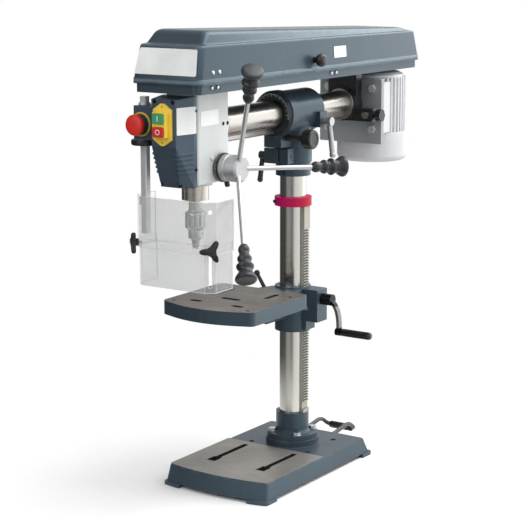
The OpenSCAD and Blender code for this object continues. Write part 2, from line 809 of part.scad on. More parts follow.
// Rack under the ram: it slides with the ram and stays upright in the saddle's keyway
module ram_rack() {
    front = head_y1 + apart;
    back = bracket_y0 - apart;
    ring_t = 7;
    half = floor((back - front) / 2 / ram_pitch) - 3;
    mid = round(((front + back) / 2 - ram_pinion_y) / ram_pitch);
    color(steel) {
        for (y = [front, back - ring_t]) difference() {
            union() {
                ycyl(ram_r + 5, y, y + ring_t, 0, ram_z);
                box(-ram_rack_w / 2, ram_rack_w / 2, y, y + ring_t, ram_rack_z0 + 4, ram_z - ram_r);
            }
            ycyl(ram_r + run, y - eps, y + ring_t + eps, 0, ram_z);
        }
        box(-ram_rack_w / 2, ram_rack_w / 2, front + 1, back - 1,
            ram_rack_z0 + (tooth_add + tooth_ded) * ram_module - eps, ram_rack_z1);
        for (i = [mid - half:mid + half])
            translate([-ram_rack_w / 2, ram_pinion_y + (i + 0.5) * ram_pitch,
                ram_rack_z0 + tooth_add * ram_module])
            rotate([90, 90, 90]) linear_extrude(ram_rack_w) polygon(tooth_points(ram_module));
    }
}

module ram_tube() {
    color(steel) difference() {
        ycyl(ram_r, head_y1 - 22, ram_rear, 0, ram_z);
        ycyl(ram_r - 9, head_y1 - 23, ram_rear + 1, 0, ram_z);
    }
}

// Head casting, bored for the quill, the feed pinion and the ram
module head_casting() {
    h = head_w / 2;
    color(pale) difference() {
        union() {
            translate([0, 0, head_z0]) linear_extrude(head_z1 - head_z0) round_rect(-h, h, head_y0,
                head_y1, 9);
            translate([0, spindle_y, 0]) zcyl(quill_r + 7, head_z0 - 6, head_z0 + 2);
            ycyl(ram_r + 7, head_y1 - 4, head_y1, 0, ram_z);
            xcyl(22, h - 1, h + 3, feed_y, feed_z);
        }
        translate([0, spindle_y, 0]) {
            zcyl(quill_r + run, head_z0 - 7, quill_z1 + 8);
            zcyl(pulley_hub_r + run, hub_bore_z0, head_z1 + 1);
        }
        xcyl(feed_r + tooth_add * feed_module + 0.5, -h - 1, h + 4, feed_y, feed_z);
        ycyl(ram_r + run, head_y1 - 22, head_y1 + 1, 0, ram_z);
        for (y = [7.5, 23]) xcyl(3.2, ram_r - 2, h + 1, head_y1 - y, ram_z + 4.5);
    }
}

// Front cover: a plastic shell, narrower towards the foot, ribbed on its two sides
module cover_shape(t) {
    h = head_w / 2;
    hull() {
        box(-h + t, h - t, head_y0 - 10 + t, head_y0 + (t > 0 ? eps : 0), cover_foot + t, cover_top - t);
        box(-30 + t, 30 - t, cover_y + t, cover_y + 10, cover_knee, cover_top - t - 4);
        box(-24 + t, 24 - t, cover_y + 22 + t, cover_y + 30, cover_foot + 2 + t, cover_foot + 10);
    }
}

module front_cover() {
    color(dark) difference() {
        union() {
            cover_shape(0);
            intersection() {
                cover_shape(-rib_proud);
                for (i = [0:rib_n - 1], x = [-head_w, 20])
                    box(x, x + head_w - 20, cover_y, head_y0 - 14, rib_z0 + i * rib_pitch,
                        rib_z0 + i * rib_pitch + rib_w);
            }
        }
        cover_shape(cover_wall);
        for (z = [start_z, stop_z]) ycyl(button_stem_r + pass, cover_y - 1, cover_y + 12, 0, z);
        for (x = [-cover_screw_x, cover_screw_x], z = [cover_foot + 8, cover_top - 9])
            ycyl(cover_screw_r, cover_y - 1, cover_y + 40, x, z);
    }
}

// Small screws: four in the front cover's sides, four in the case wall
module head_screws() {
    h = head_w / 2;
    color(black) {
        for (z = [730, 850]) xcyl(3.2, h, h + 1.8, head_y0 - 4, z);
        for (z = [730, 764]) xcyl(3.2, -h - 1.8, -h, head_y0 - 4, z);
        for (y = [case_y0 + 52, case_y0 + 72, 30, 50])
            xcyl(3.5, case_x, case_x + 2, y, case_z0 + 10);
    }
}

// Outline of a push button, larger by a gap
module button_shape(gap) {
    w = button_w / 2 + gap;
    h = button_h / 2 + gap;
    round_rect(-w, w, -h, h, button_round + gap);
}

// Switch plate with openings for the two buttons
module switch_plate() {
    w = plate_w / 2;
    low = stop_z - button_h / 2 - block_rim;
    high = start_z + button_h / 2 + block_rim;
    color([0.94, 0.74, 0.2]) difference() {
        union() {
            translate([0, cover_y, 0]) rotate([90, 0, 0]) linear_extrude(plate_t)
                polygon([[-plate_apex, plate_z0], [plate_apex, plate_z0], [w, plate_z0 + plate_shoulder],
                    [w, plate_z1 - plate_shoulder], [plate_apex, plate_z1], [-plate_apex, plate_z1],
                    [-w, plate_z1 - plate_shoulder], [-w, plate_z0 + plate_shoulder]]);
            translate([0, cover_y, 0]) rotate([90, 0, 0]) linear_extrude(cover_y - plate_y0)
                round_rect(-block_w / 2, block_w / 2, low, high, button_round);
        }
        for (z = [start_z, stop_z]) translate([0, cover_y + 1, z]) rotate([90, 0, 0])
            linear_extrude(cover_y - plate_y0 + 2) button_shape(pass);
        for (z = [plate_z0 + 6, plate_z1 - 6]) ycyl(2.2, cover_y - plate_t - 1, cover_y - 1, 0, z);
    }
}

// A push button: cap in the plate's opening, stem through the cover
module push_button(z) {
    translate([0, plate_y0 + 5, z]) rotate([90, 0, 0]) linear_extrude(5 + button_proud) button_shape(0);
    ycyl(button_stem_r, plate_y0 + 4, cover_y + 8, 0, z);
}

module start_button() {
    color([0.2, 0.55, 0.39]) push_button(start_z);
}

module stop_button() {
    color([0.84, 0.24, 0.24]) push_button(stop_z);
}

// Housing beside the cover for the emergency stop and the guard's pivot
module estop_box() {
    color(dark) difference() {
        union() {
            translate([0, 0, box_z0]) linear_extrude(box_z1 - box_z0) round_rect(box_x0, box_x1 + 0.1,
                box_y0, box_y1, 5);
            ycyl(24, box_y0 - 2, box_y0 + 1, estop_x, estop_z);
        }
        hull() {
            box(-head_w / 2 - 0.2, 0, head_y0 - 10, head_y0 + 100, 600, 900);
            box(-30 - 0.2, 0, cover_y, cover_y + 1, 600, 900);
        }
        translate([rod_x, rod_y, 0]) zcyl(rod_w * 0.7072 + pass, box_z0 - 1, box_z1 + 1);
        ycyl(6 + pass, box_y0 - 3, box_y0 + 9.5, estop_x, estop_z);
    }
}

module estop_button() {
    color([0.82, 0.2, 0.18]) {
        translate([estop_x, box_y0 - 2 - estop_travel - 0.6, estop_z]) rotate([90, 0, 0]) rotate_extrude()
            polygon([[0, 0], [13, 0], [estop_r, 9], [estop_r, 15], [estop_r - 3, 20], [0, 22.5]]);
        ycyl(6, box_y0 - 2 - estop_travel - 1, box_y0 + 3, estop_x, estop_z);
    }
}

// Return spring and its cap on the left side of the head
module spring_cap() {
    color(dark) translate([-head_w / 2, feed_y, feed_z]) rotate([0, -90, 0]) difference() {
        rotate_extrude() polygon([[0, 0], [cap_r, 0], [cap_r, 20], [cap_r - 3, 24], [0, 24]]);
        translate([0, 0, -eps]) cylinder(r = cap_r - cap_wall, h = 20);
        cylinder(r = 6, h = 30);
    }
}

module return_spring() {
    turns = 4;
    steps = 96;
    leaf = 0.9;
    r0 = spring_shaft_r + pass + leaf;
    r1 = cap_r - cap_wall - pass;
    color(iron) translate([-head_w / 2 - 3, feed_y, feed_z]) rotate([0, -90, 0]) linear_extrude(14)
        polygon(concat(
            [for (i = [0:steps]) let (a = 360 * turns * i / steps,
                r = r0 + (r1 - r0) * i / steps) [r * cos(a), r * sin(a)]],
            [for (i = [steps:-1:0]) let (a = 360 * turns * i / steps,
                r = r0 - leaf + (r1 - r0) * i / steps) [r * cos(a), r * sin(a)]]));
}

// Lower half of the belt case
module belt_tray() {
    color(blue) {
        difference() {
            translate([0, 0, case_z0]) linear_extrude(tray_h) round_rect(-case_x, case_x, case_y0,
                case_y1, 14);
            translate([0, 0, case_z0 + sheet]) linear_extrude(tray_h)
                round_rect(-case_x + sheet, case_x - sheet, case_y0 + sheet, case_y1 - sheet, 12);
            translate([0, spindle_y, 0]) zcyl(22, case_z0 - 1, case_z0 + 5);
            translate([0, 0, case_z0 - 1]) linear_extrude(5)
                round_rect(-18, 18, motor_y - tension_travel - 18, motor_y + 18, 17.9);
        }
        translate([0, 0, case_z0 + tray_h - 3]) linear_extrude(3) difference() {
            round_rect(-case_x - flange_out, case_x + flange_out, case_y0 - flange_out,
                case_y1 + flange_out, 18);
            round_rect(-case_x + sheet, case_x - sheet, case_y0 + sheet, case_y1 - sheet, 12);
        }
        for (y = hinge_ys) {
            ycyl(hinge_pin_r, y - 6, y + hinge_l + 6, hinge_x, hinge_z);
            for (e = [y - 6, y + hinge_l + pass]) difference() {
                hull() {
                    ycyl(hinge_r, e, e + 6 - pass, hinge_x, hinge_z);
                    box(hinge_x, -case_x - 1, e, e + 6 - pass, case_z0 + tray_h - 3, case_z0 + tray_h - 2);
                }
                box(-case_x - flange_out - 1, 0, e - 1, e + 8, case_z0 + tray_h, 2000);
            }
        }
    }
}

// Belt case lid: two tiers, the upper one falling away to the rear
module lid_tier(t) {
    x = case_x + flange_out - 2 - t;
    hull() {
        translate([0, 0, lid_z0 + lid_lip]) linear_extrude(eps)
            round_rect(-x, x, case_y0 - flange_out + 2 + t, case_y1 + flange_out - 2 - t, 16 - t);
        translate([0, case_y0 + 16 + t, tier_z - t]) cube([2 * (x - lid_side_lean), 8, eps], center = true);
        translate([0, case_y0 + 13 + t, tier_z - t - 5]) cube([2 * (x - lid_side_lean), 2, eps],
            center = true);
        translate([0, case_y1 - 14 - t, tier_z - tier_drop - t]) cube([2 * (x - lid_side_lean), 8, eps],
            center = true);
    }
}

module lid_crown(t) {
    x = case_x - ledge_x - t;
    hull() {
        translate([0, 0, tier_z - 12 - t]) linear_extrude(eps)
            round_rect(-x, x, case_y0 + 26 + t, case_y1 - 24 - t, 10);
        translate([0, case_y0 + 62 + t, lid_top - t]) cube([2 * x - 16, 16, eps], center = true);
        translate([0, case_y0 + 56 + t, lid_top - t - 3]) cube([2 * x - 16, 16, eps], center = true);
        translate([0, case_y1 - 60 - t, lid_rear_top - t]) cube([2 * x - 12, 8, eps], center = true);
    }
}

module belt_lid() {
    color(blue) {
        difference() {
            union() {
                lid_tier(0);
                lid_crown(0);
                translate([0, 0, lid_z0]) linear_extrude(lid_lip)
                    round_rect(-case_x - flange_out, case_x + flange_out, case_y0 - flange_out,
                        case_y1 + flange_out, 18);
            }
            lid_tier(3);
            lid_crown(3);
            xcyl(knob_shank_r + run, 0, case_x + 10, lid_knob_y, lid_knob_z);
            translate([0, 0, lid_z0 - eps]) linear_extrude(lid_lip + 2 * eps)
                round_rect(-case_x - flange_out + 5, case_x + flange_out - 5, case_y0 - flange_out + 5,
                    case_y1 + flange_out - 5, 13);
        }
        for (y = hinge_ys) difference() {
            union() {
                ycyl(hinge_r, y + pass, y + hinge_l - pass, hinge_x, hinge_z);
                box(hinge_x, -case_x - flange_out + 1, y + pass, y + hinge_l - pass, hinge_z - 1.2,
                    hinge_z + 3.5);
            }
            ycyl(hinge_pin_r + run, y - 1, y + hinge_l + 1, hinge_x, hinge_z);
        }
    }
}

module lid_knob() {
    color(black) translate([lid_knob_x, lid_knob_y, lid_knob_z]) rotate([0, 90, 0]) rotate_extrude()
        polygon([[0, -5], [knob_shank_r, -5], [knob_shank_r, 0], [7, 0], [7, 7], [13, 10], [15, 16], [13,
            23], [9, 26], [0, 27]]);
}

// End bracket: carries the belt case and guides the motor's slide rods
module ram_end_bracket() {
    color(dark) difference() {
        union() {
            ycyl(ram_r + 9, bracket_y0, bracket_y1, 0, ram_z);
            box(-38, 38, bracket_y0 + 5, bracket_y1, ram_z, case_z0);
            box(-slide_x - 15, slide_x + 15, bracket_y0 + 5, bracket_y1, slide_z - 15, slide_z + 15);
        }
        ycyl(ram_r + run, bracket_y0 - 1, bracket_y1 + 1, 0, ram_z);
        for (s = [-1, 1]) ycyl(slide_r + run, bracket_y0 - 1, bracket_y1 + 1, s * slide_x, slide_z);
        xcyl(4 + run, slide_x, slide_x + 16, bracket_y0 + 17, slide_z);
    }
}

module slide_rods() {
    color(steel) for (s = [-1, 1]) ycyl(slide_r, bracket_y0 - 4, plate_y, s * slide_x, slide_z);
}

module tension_knob() {
    y = bracket_y0 + 17;
    x0 = slide_x + 15 + pass;
    color(black) {
        xcyl(4, slide_x + slide_r + pass, x0 + 2, y, slide_z);
        xcyl(7, x0, x0 + 6, y, slide_z);
        translate([x0 + 6, y, slide_z]) rotate([0, 90, 0]) linear_extrude(14) difference() {
            circle(14);
            for (a = [0:60:300]) rotate(a) translate([17, 0]) circle(4.5);
        }
    }
}

// V-belt round the two pulleys
module v_belt() {
    span = motor_y - spindle_y;
    lean = asin((belt_r_spindle - belt_r_motor) / span);
    function loop(out) = concat(
        [for (p = arc(0, 0, belt_r_motor + out, lean, 180 - lean, 18)) p + [0, span]],
        arc(0, 0, belt_r_spindle + out, 180 - lean, 360 + lean, 24));
    color(black) translate([0, spindle_y, belt_z - belt_w / 2]) linear_extrude(belt_w) difference() {
        polygon(loop(belt_h));
        polygon(loop(0.6));
    }
}

// Five-step pulley with its largest step at the foot; flip it for the motor
module step_pulley(flip) {
    rotate_extrude() difference() {
        union() for (i = [0:4]) translate([0, pulley_z0 + i * pulley_step])
            square([pulley_r[flip ? 4 - i : i], pulley_step + (i < 4 ? eps : 0)]);
        for (i = [0:4]) let (r = pulley_r[flip ? 4 - i : i], z = pulley_z0 + (i + 0.5) * pulley_step)
            polygon([[r - belt_h, z - belt_w / 2 - 0.4], [r + 1, z - belt_w / 2 - 0.4],
                [r + 1, z + belt_w / 2 + 0.4], [r - belt_h, z + belt_w / 2 + 0.4]]);
    }
}

module spline(r, w, tip) {
    circle(r);
    for (a = [0:90:270]) rotate(a) translate([0, -w / 2]) square([tip, w]);
}

module spindle_pulley() {
    color(iron) translate([0, spindle_y, 0]) difference() {
        union() {
            step_pulley(false);
            zcyl(pulley_hub_r, pulley_hub_z0, pulley_z0 + eps);
        }
        translate([0, 0, hub_bore_z0])
            linear_extrude(6 * pulley_step + pulley_z0 - hub_bore_z0)
            spline(spindle_r - 2 + pass, spline_w + 2 * pass, spline_r + pass);
    }
}

module motor_pulley() {
    color(iron) translate([0, motor_y, 0]) difference() {
        step_pulley(true);
        zcyl(shaft_r + run, pulley_z0 - 1, pulley_z0 + 6 * pulley_step);
    }
}

// Spindle: journals in the quill, splines above, a short taper for the chuck below
module spindle() {
    color(steel) translate([0, spindle_y, 0]) {
        zcyl(spindle_r, 636, quill_z1 + 4);
        zcyl(14, 640, quill_z0 - pass);
        translate([0, 0, quill_z1 + 3]) linear_extrude(spindle_top - quill_z1 - 3)
            spline(spindle_r - 2, spline_w, spline_r);
    }
}

// Keyless drill chuck
module drill_chuck() {
    color(steel) translate([0, spindle_y, 0]) difference() {
        union() {
            rotate_extrude() polygon([[0, 556], [5, 556], [8, 577], [14, 577], [15.5, 580], [15.5, 596],
                [21, 598],
                [22, 601], [22, 631], [20, 635], [0, 635]]);
            zcyl(15, 634, 639.5);
        }
        zcyl(spindle_r + run, 620, 641);
        zcyl(shank_r, 556 - eps, 556 + jaw_l);
        for (a = [0:30:330]) rotate([0, 0, a]) translate([23.2, 0, 604]) cylinder(r = 2, h = 24);
    }
}

module quill() {
    color(steel) difference() {
        translate([0, spindle_y, 0]) zcyl(quill_r, quill_z0, quill_z1);
        translate([0, spindle_y, 0]) {
            zcyl(spindle_r + 3, quill_z0 - 1, quill_z1 + 1);
            zcyl(bearing_r + run, quill_z0 - 1, quill_z0 + bearing_l);
            zcyl(bearing_r + run, quill_z1 - bearing_l, quill_z1 + 1);
        }
        difference() {
            box(-9, 9, quill_pitch_y - tooth_ded * feed_module, 0, feed_z - 40, feed_z + quill_stroke + 30);
            for (i = [-6:18]) translate([0, quill_pitch_y, feed_z + (i + 0.5) * feed_pitch])
                rotate([90, 0, 90]) translate([0, 0, -10]) linear_extrude(20)
                    polygon(tooth_points(feed_module));
        }
    }
}

module quill_bearings() {
    color(steel) translate([0, spindle_y, 0])
        for (z = [quill_z0 + 0.5, quill_z1 - bearing_l]) difference() {
            zcyl(bearing_r, z, z + bearing_l - 0.5);
            zcyl(spindle_r + run, z - 1, z + bearing_l + 1);
        }
}

// Feed pinion shaft, hub, levers and grips
module feed_shaft() {
    h = head_w / 2;
    color(steel) {
        translate([-8, feed_y, feed_z]) rotate([90, 0, 90]) linear_extrude(16)
            rotate(180) polygon(gear_points(feed_teeth, feed_module));
        xcyl(spring_shaft_r, -h - 18, -7, feed_y, feed_z);
        for (x = [-h, h - 14]) xcyl(feed_r + tooth_add * feed_module + 0.4, x, x + 14, feed_y, feed_z);
        xcyl(7, 7, hub_x1 - 6, feed_y, feed_z);
    }
}

module feed_hub() {
    color(steel) difference() {
        translate([0, feed_y, feed_z]) rotate([0, 90, 0]) rotate_extrude()
            polygon([[0, ring_x0], [24, ring_x0], [24, ring_x1], [27, ring_x1], [28, ring_x1 + 2], [28,
                ring_x1 + 12],
                [26.5, ring_x1 + 14], [26.5, ring_x1 + 18], [28, ring_x1 + 20], [28, hub_x1 - 4],
                [24, hub_x1], [0, hub_x1]]);
        xcyl(7 + run, ring_x0 - 1, hub_x1 - 6, feed_y, feed_z);
        for (a = lever_angles) lever_place(a) translate([0, 0,
            lever_seat]) cylinder(r = lever_rod_r + run, h = 30);
    }
}

// Places its children on a lever: +Z runs out along the lever from the feed axis
module lever_place(a) {
    translate([lever_root_x, feed_y, feed_z]) rotate([a - 90, 0, 0]) rotate([0, lever_lean, 0]) children();
}

module feed_levers() {
    color(steel) for (a = lever_angles) lever_place(a)
        translate([0, 0, lever_seat]) cylinder(r = lever_rod_r, h = lever_l - lever_seat - grip_cap);
}

module feed_grips() {
    color(black) for (a = lever_angles) lever_place(a) translate([0, 0, lever_l - grip_l]) difference() {
        rotate_extrude() polygon(concat([[0, 0]], [for (k = grip_waves) [k[1], k[0]]],
            [[grip_end_r, grip_l - 5], [grip_end_r - 0.7, grip_l - 2], [grip_end_r - 5, grip_l - 0.4],
                [0, grip_l]]));
        translate([0, 0, -1]) cylinder(r = lever_rod_r + run, h = grip_l - grip_cap + 1.2);
    }
}

// Depth ring on the hub, with its clamping knob
module depth_ring() {
    color(black) {
        difference() {
            xcyl(30.5, ring_x0, ring_x1 - 0.1, feed_y, feed_z);
            xcyl(24 + run, ring_x0 - 1, ring_x1 + 1, feed_y, feed_z);
        }
        translate([(ring_x0 + ring_x1) / 2, feed_y, feed_z]) rotate([200, 0, 0]) {
            translate([0, 0, 29]) cylinder(r = 2.5, h = 6);
            translate([0, 0, 34]) cylinder(r = 5.5, h = 9);
        }
    }
}

// Square bar that carries the guard: turns in the housing beside the cover
module guard_rod() {
    h = rod_w / 2;
    c = h - rod_chamfer;
    color(steel) {
        translate([rod_x, rod_y, 0]) {
            translate([0, 0, rod_z0]) linear_extrude(rod_z1 - rod_z0)
                polygon([[h, c], [c, h], [-c, h], [-h, c], [-h, -c], [-c, -h], [c, -h], [h, -c]]);
            zcyl(23, box_z0 - 13, box_z0 - apart);
            zcyl(12.5, box_z1 + apart, box_z1 + 5);
        }
        box(-guard_w / 2 + guard_t, rod_x, rod_y - rod_w / 8, rod_y + rod_w / 2, guard_z1 - 22,
            guard_z1 - 4);
    }
}

// Plan of the guard: front panel, two cut corners and two side panels, as a band of wall t
module guard_plan(inset, t) {
    function half(i, s) = [[s * (guard_w / 2 - i), guard_y1], [s * (guard_w / 2 - i),
        guard_y0 + guard_cut + i * 0.414],
        [s * (guard_w / 2 - guard_cut - i * 0.414), guard_y0 + i]];
    function turned(l) = [for (i = [len(l) - 1:-1:0]) l[i]];
    polygon(concat(half(inset, 1), turned(half(inset, -1)), half(inset + t, -1), turned(half(inset + t,
        1))));
}

module guard_knob_axis(s) {
    translate([s * guard_face_x, guard_face_y, guard_knob_z]) rotate([0, 0, s * 45]) rotate([90, 0,
        0]) children();
}

module guard_upper() {
    color([0.8, 0.85, 0.85, 0.35]) difference() {
        translate([0, 0, guard_z0]) linear_extrude(guard_z1 - guard_z0) guard_plan(0, guard_t);
        for (s = [-1, 1]) guard_knob_axis(s) translate([0, 0, -10]) cylinder(r = 3.2, h = 20);
        guard_knob_axis(1) translate([0, guard_z1 - 20 - guard_knob_z, -10]) cylinder(r = 4.5, h = 20);
    }
}

module guard_lower() {
    color([0.8, 0.85, 0.85, 0.35]) difference() {
        translate([0, 0, shield_z0]) linear_extrude(shield_z1 - shield_z0) guard_plan(shield_in, guard_t);
        for (s = [-1, 1]) guard_knob_axis(s) translate([-3.4, -shield_travel - 22, -15])
            cube([6.8, shield_travel + 26, 30]);
    }
}

module guard_knob(s) {
    color(black) guard_knob_axis(s) {
        translate([0, 0, -shield_in - guard_t - 1]) cylinder(r = 3, h = shield_in + guard_t + 6);
        translate([0, 0, pass]) cylinder(r = 8, h = 6);
        translate([0, 0, 6]) linear_extrude(11) difference() {
            union() {
                circle(13);
                for (a = [90:120:330]) rotate(a) translate([11, 0]) circle(11);
            }
            for (a = [30:120:270]) rotate(a) translate([24, 0]) circle(11);
        }
    }
}

module guard_knob_left() {
    guard_knob(-1);
}

module guard_knob_right() {
    guard_knob(1);
}

// Motor plate on the slide rods
module motor_plate() {
    w = motor_plate_w / 2;
    color(iron) difference() {
        translate([0, plate_y + motor_plate_t, 0]) rotate([90, 0, 0]) linear_extrude(motor_plate_t)
            round_rect(-w, w, motor_plate_z0, motor_plate_z1, 3);
        for (s = [-1, 1], z = motor_bolt_zs)
            ycyl(motor_bolt_r + run, plate_y - 1, plate_y + motor_plate_t + 1, s * motor_bolt_x, z);
    }
}

module motor_bolts() {
    color(steel) for (s = [-1, 1], z = motor_bolt_zs) translate([s * motor_bolt_x, plate_y,
        z]) rotate([90, 0, 0]) {
        hex_head(17, 7);
        translate([0, 0, -motor_plate_t - 8]) cylinder(r = motor_bolt_r, h = motor_plate_t + 8 + eps);
    }
}

// Motor: finned body with a mounting pad, fan cowl, rotor
module motor_body() {
    fins = 44;
    fin_half = 1.6;
    core_r = motor_r - 8;
    pad_y = plate_y + motor_plate_t;
    color(pale) difference() {
        union() {
            translate([0, motor_y, 0]) {
                translate([0, 0, motor_z0]) linear_extrude(motor_z1 - motor_z0)
                    polygon([for (i = [0:fins - 1]) let (a = 360 / fins * i) each [
                        [core_r * cos(a - 3), core_r * sin(a - 3)], [motor_r * cos(a - fin_half),
                            motor_r * sin(a - fin_half)],
                        [motor_r * cos(a + fin_half), motor_r * sin(a + fin_half)], [core_r * cos(a + 3),
                            core_r * sin(a + 3)]]]);
                rotate_extrude() polygon([[0, motor_z1 - 4], [core_r + 2, motor_z1 - 4], [core_r + 2,
                    motor_z1 + 6],
                    [core_r - 8, motor_z1 + 12], [34, motor_z1 + 16], [0, motor_z1 + 16]]);
                zcyl(core_r, cowl_z0 + 40, motor_z0 + 1);
            }
            box(-motor_pad_w / 2, motor_pad_w / 2, pad_y, motor_y - stator_r / 2, motor_z0 + 10,
                motor_z1 - 8);
        }
        translate([0, motor_y, 0]) {
            zcyl(shaft_r + 1, cowl_z0, motor_z1 + 20);
            zcyl(stator_r, stator_z0, stator_z1);
        }
        for (s = [-1, 1], z = motor_bolt_zs) ycyl(motor_bolt_r + run, pad_y - 1, pad_y + 8.2,
            s * motor_bolt_x, z);
    }
}

module motor_cowl() {
    color(pale) translate([0, motor_y, 0]) difference() {
        rotate_extrude() polygon(concat([[0, cowl_z0]], arc(cowl_r - cowl_round, cowl_z0 + cowl_round,
            cowl_round, 270, 360),
            [[cowl_r, cowl_z1], [motor_r + pass, cowl_z1], [motor_r + pass, motor_z0 - cowl_t]],
            arc(cowl_r - cowl_round, cowl_z0 + cowl_round, cowl_round - cowl_t, 360, 270),
            [[0, cowl_z0 + cowl_t]]));
        for (r = [24, 36, 48, 60], a = [0:30:330]) rotate([0, 0, a + r]) translate([r, 0,
            cowl_z0 - 1]) cylinder(r = 3.5, h = 5);
    }
}

module motor_rotor() {
    color(steel) translate([0, motor_y, 0]) {
        zcyl(shaft_r, fan_z0 + 2, pulley_z0 + 5 * pulley_step - 2);
        zcyl(rotor_r, stator_z0 + 15, stator_z1 - 15);
        zcyl(fan_hub_r, fan_z0, fan_z1);
        for (a = [0:45:315]) rotate([0, 0, a]) box(fan_hub_r - 5, fan_r, -1, 1, fan_z0, fan_z1);
    }
}

base_casting();
column_flange();
flange_bolts();
column();
rack_collar();
carry_handle();
carry_handle_grip();
table_rack();
work_table();
lift_gear();
crank_shaft();
crank_arm();
crank_grip();
table_clamp_lever();
saddle_casting();
tilt_scale_ring();
saddle_clamp_lever();
ram_pinion_shaft();
ram_knob();
ram_clamp_lever();
ram_rack();
ram_tube();
head_casting();
front_cover();
head_screws();
switch_plate();
estop_box();
spring_cap();
return_spring();
belt_tray();
ram_end_bracket();
slide_rods();
v_belt();
motor_plate();
motor_bolts();
motor_body();
motor_cowl();
tension_knob();
motor_rotor();
motor_pulley();
spindle_pulley();
spindle();
drill_chuck();
quill();
quill_bearings();
feed_shaft();
feed_hub();
feed_levers();
feed_grips();
depth_ring();
guard_rod();
guard_upper();
guard_lower();
guard_knob_left();
guard_knob_right();
belt_lid();
lid_knob();
start_button();
stop_button();
estop_button();
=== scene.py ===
# Radial arm drill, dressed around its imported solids: finishes for every solid, and the pieces whose
# shape a turned, drawn or pressed surface gives better. Sizes are written in millimetres, which mm turns
# into metres. +Z is up, and +X is to the right of an operator who stands in front.
import math

import bmesh
import bpy
import numpy as np
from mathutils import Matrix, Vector


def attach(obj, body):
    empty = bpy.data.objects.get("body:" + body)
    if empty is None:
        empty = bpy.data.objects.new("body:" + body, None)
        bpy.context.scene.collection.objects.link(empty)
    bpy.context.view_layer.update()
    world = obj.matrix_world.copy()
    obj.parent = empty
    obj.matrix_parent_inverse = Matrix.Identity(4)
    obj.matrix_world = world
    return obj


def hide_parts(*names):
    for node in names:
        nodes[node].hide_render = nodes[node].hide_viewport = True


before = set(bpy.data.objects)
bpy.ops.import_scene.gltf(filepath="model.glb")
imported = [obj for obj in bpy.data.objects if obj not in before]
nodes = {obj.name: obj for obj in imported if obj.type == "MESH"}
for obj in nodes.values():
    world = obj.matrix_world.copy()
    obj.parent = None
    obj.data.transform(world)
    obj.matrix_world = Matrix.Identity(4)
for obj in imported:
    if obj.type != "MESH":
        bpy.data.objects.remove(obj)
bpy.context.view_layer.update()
mm = 0.001

# Base casting: a hollow iron plate on four feet, sand-cast and sprayed blue-grey, then ground
# bright on top in front of the column. The flange that clamps the column is cast and sprayed alike.


def chip(r, g, b):
    """Linear light of a colour chip from its screen values: ((c + 0.055) / 1.055) to the power 2.4."""
    c = np.array([r, g, b]) / 255.0
    return tuple(float(v) for v in np.where(c > 0.04045, ((c + 0.055) / 1.055) ** 2.4, c / 12.92))


def finish(name, **plain):
    """A new material with one principled surface; plain numbers and colours go on its own sockets."""
    m = bpy.data.materials.new(name)
    m.use_nodes = True
    surface = m.node_tree.nodes["Principled BSDF"]
    for key, value in plain.items():
        value = (*value, 1.0) if isinstance(value, tuple) else value
        surface.inputs[key.replace("_", " ")].default_value = value
    return m, m.node_tree, surface


def step(tree, kind, inputs, out=0, **settings):
    """One shader node with its settings and inputs, each a number or another node's output."""
    n = tree.nodes.new("ShaderNode" + kind)
    for key, value in settings.items():
        setattr(n, key, value)
    for key, value in inputs.items():
        if isinstance(value, bpy.types.NodeSocket):
            tree.links.new(value, n.inputs[key])
        else:
            n.inputs[key].default_value = value
    return n.outputs[out]


def maths(tree, operation, a, b=0.0):
    """The result of one sum on two numbers or outputs."""
    return step(tree, "Math", {0: a, 1: b}, operation=operation)


def spread(tree, value, low, high, to_low=0.0, to_high=1.0):
    """A value stretched from low..high to to_low..to_high, and held there."""
    return step(tree, "MapRange", {0: value, 1: low, 2: high, 3: to_low, 4: to_high})


def place(tree, stretch=(1, 1, 1)):
    """The point on the piece, each axis stretched by its own factor."""
    at = step(tree, "TexCoord", {}, "Object")
    return step(tree, "Mapping", {"Vector": at, "Scale": stretch})


def axis_of(tree, vector, axis):
    """One of the three numbers of a vector output."""
    return step(tree, "SeparateXYZ", {0: vector}, axis)


def grain(tree, scale, detail=3.0, stretch=(1, 1, 1)):
    """Noise with that many waves to the metre, stretched into streaks where wanted."""
    return step(tree, "TexNoise", {"Vector": place(tree, stretch), "Scale": scale, "Detail": detail})


def tint(tree, share, a, b):
    """Colour a where share is 0, colour b where it is 1."""
    a, b = [(*c, 1.0) if isinstance(c, tuple) else c for c in (a, b)]
    return step(tree, "Mix", {0: share, 6: a, 7: b}, 2, data_type="RGBA")


def eased(tree, radius):
    """The surface direction with every sharp edge rounded to a radius, as on a casting or a moulding."""
    return step(tree, "Bevel", {"Radius": radius}, samples=6)


def edge_share(tree, radius, blunt=0.985, sharp=0.8):
    """How far a point lies on a sharp edge: 1 - eased direction . true direction, stretched to 0..1."""
    true = step(tree, "NewGeometry", {}, "True Normal")
    dot = step(tree, "VectorMath", {0: eased(tree, radius), 1: true}, 1, operation="DOT_PRODUCT")
    return spread(tree, dot, blunt, sharp)


def ripple(tree, surface, height, depth, radius):
    """Bump of that depth on edges eased to a radius, linked to the surface."""
    inputs = {"Height": height, "Distance": depth, "Strength": 1.0, "Normal": eased(tree, radius)}
    tree.links.new(step(tree, "Bump", inputs), surface.inputs["Normal"])


def shaded(colour, factor):
    """A colour made darker or paler by a factor."""
    return tuple(v * factor for v in colour)


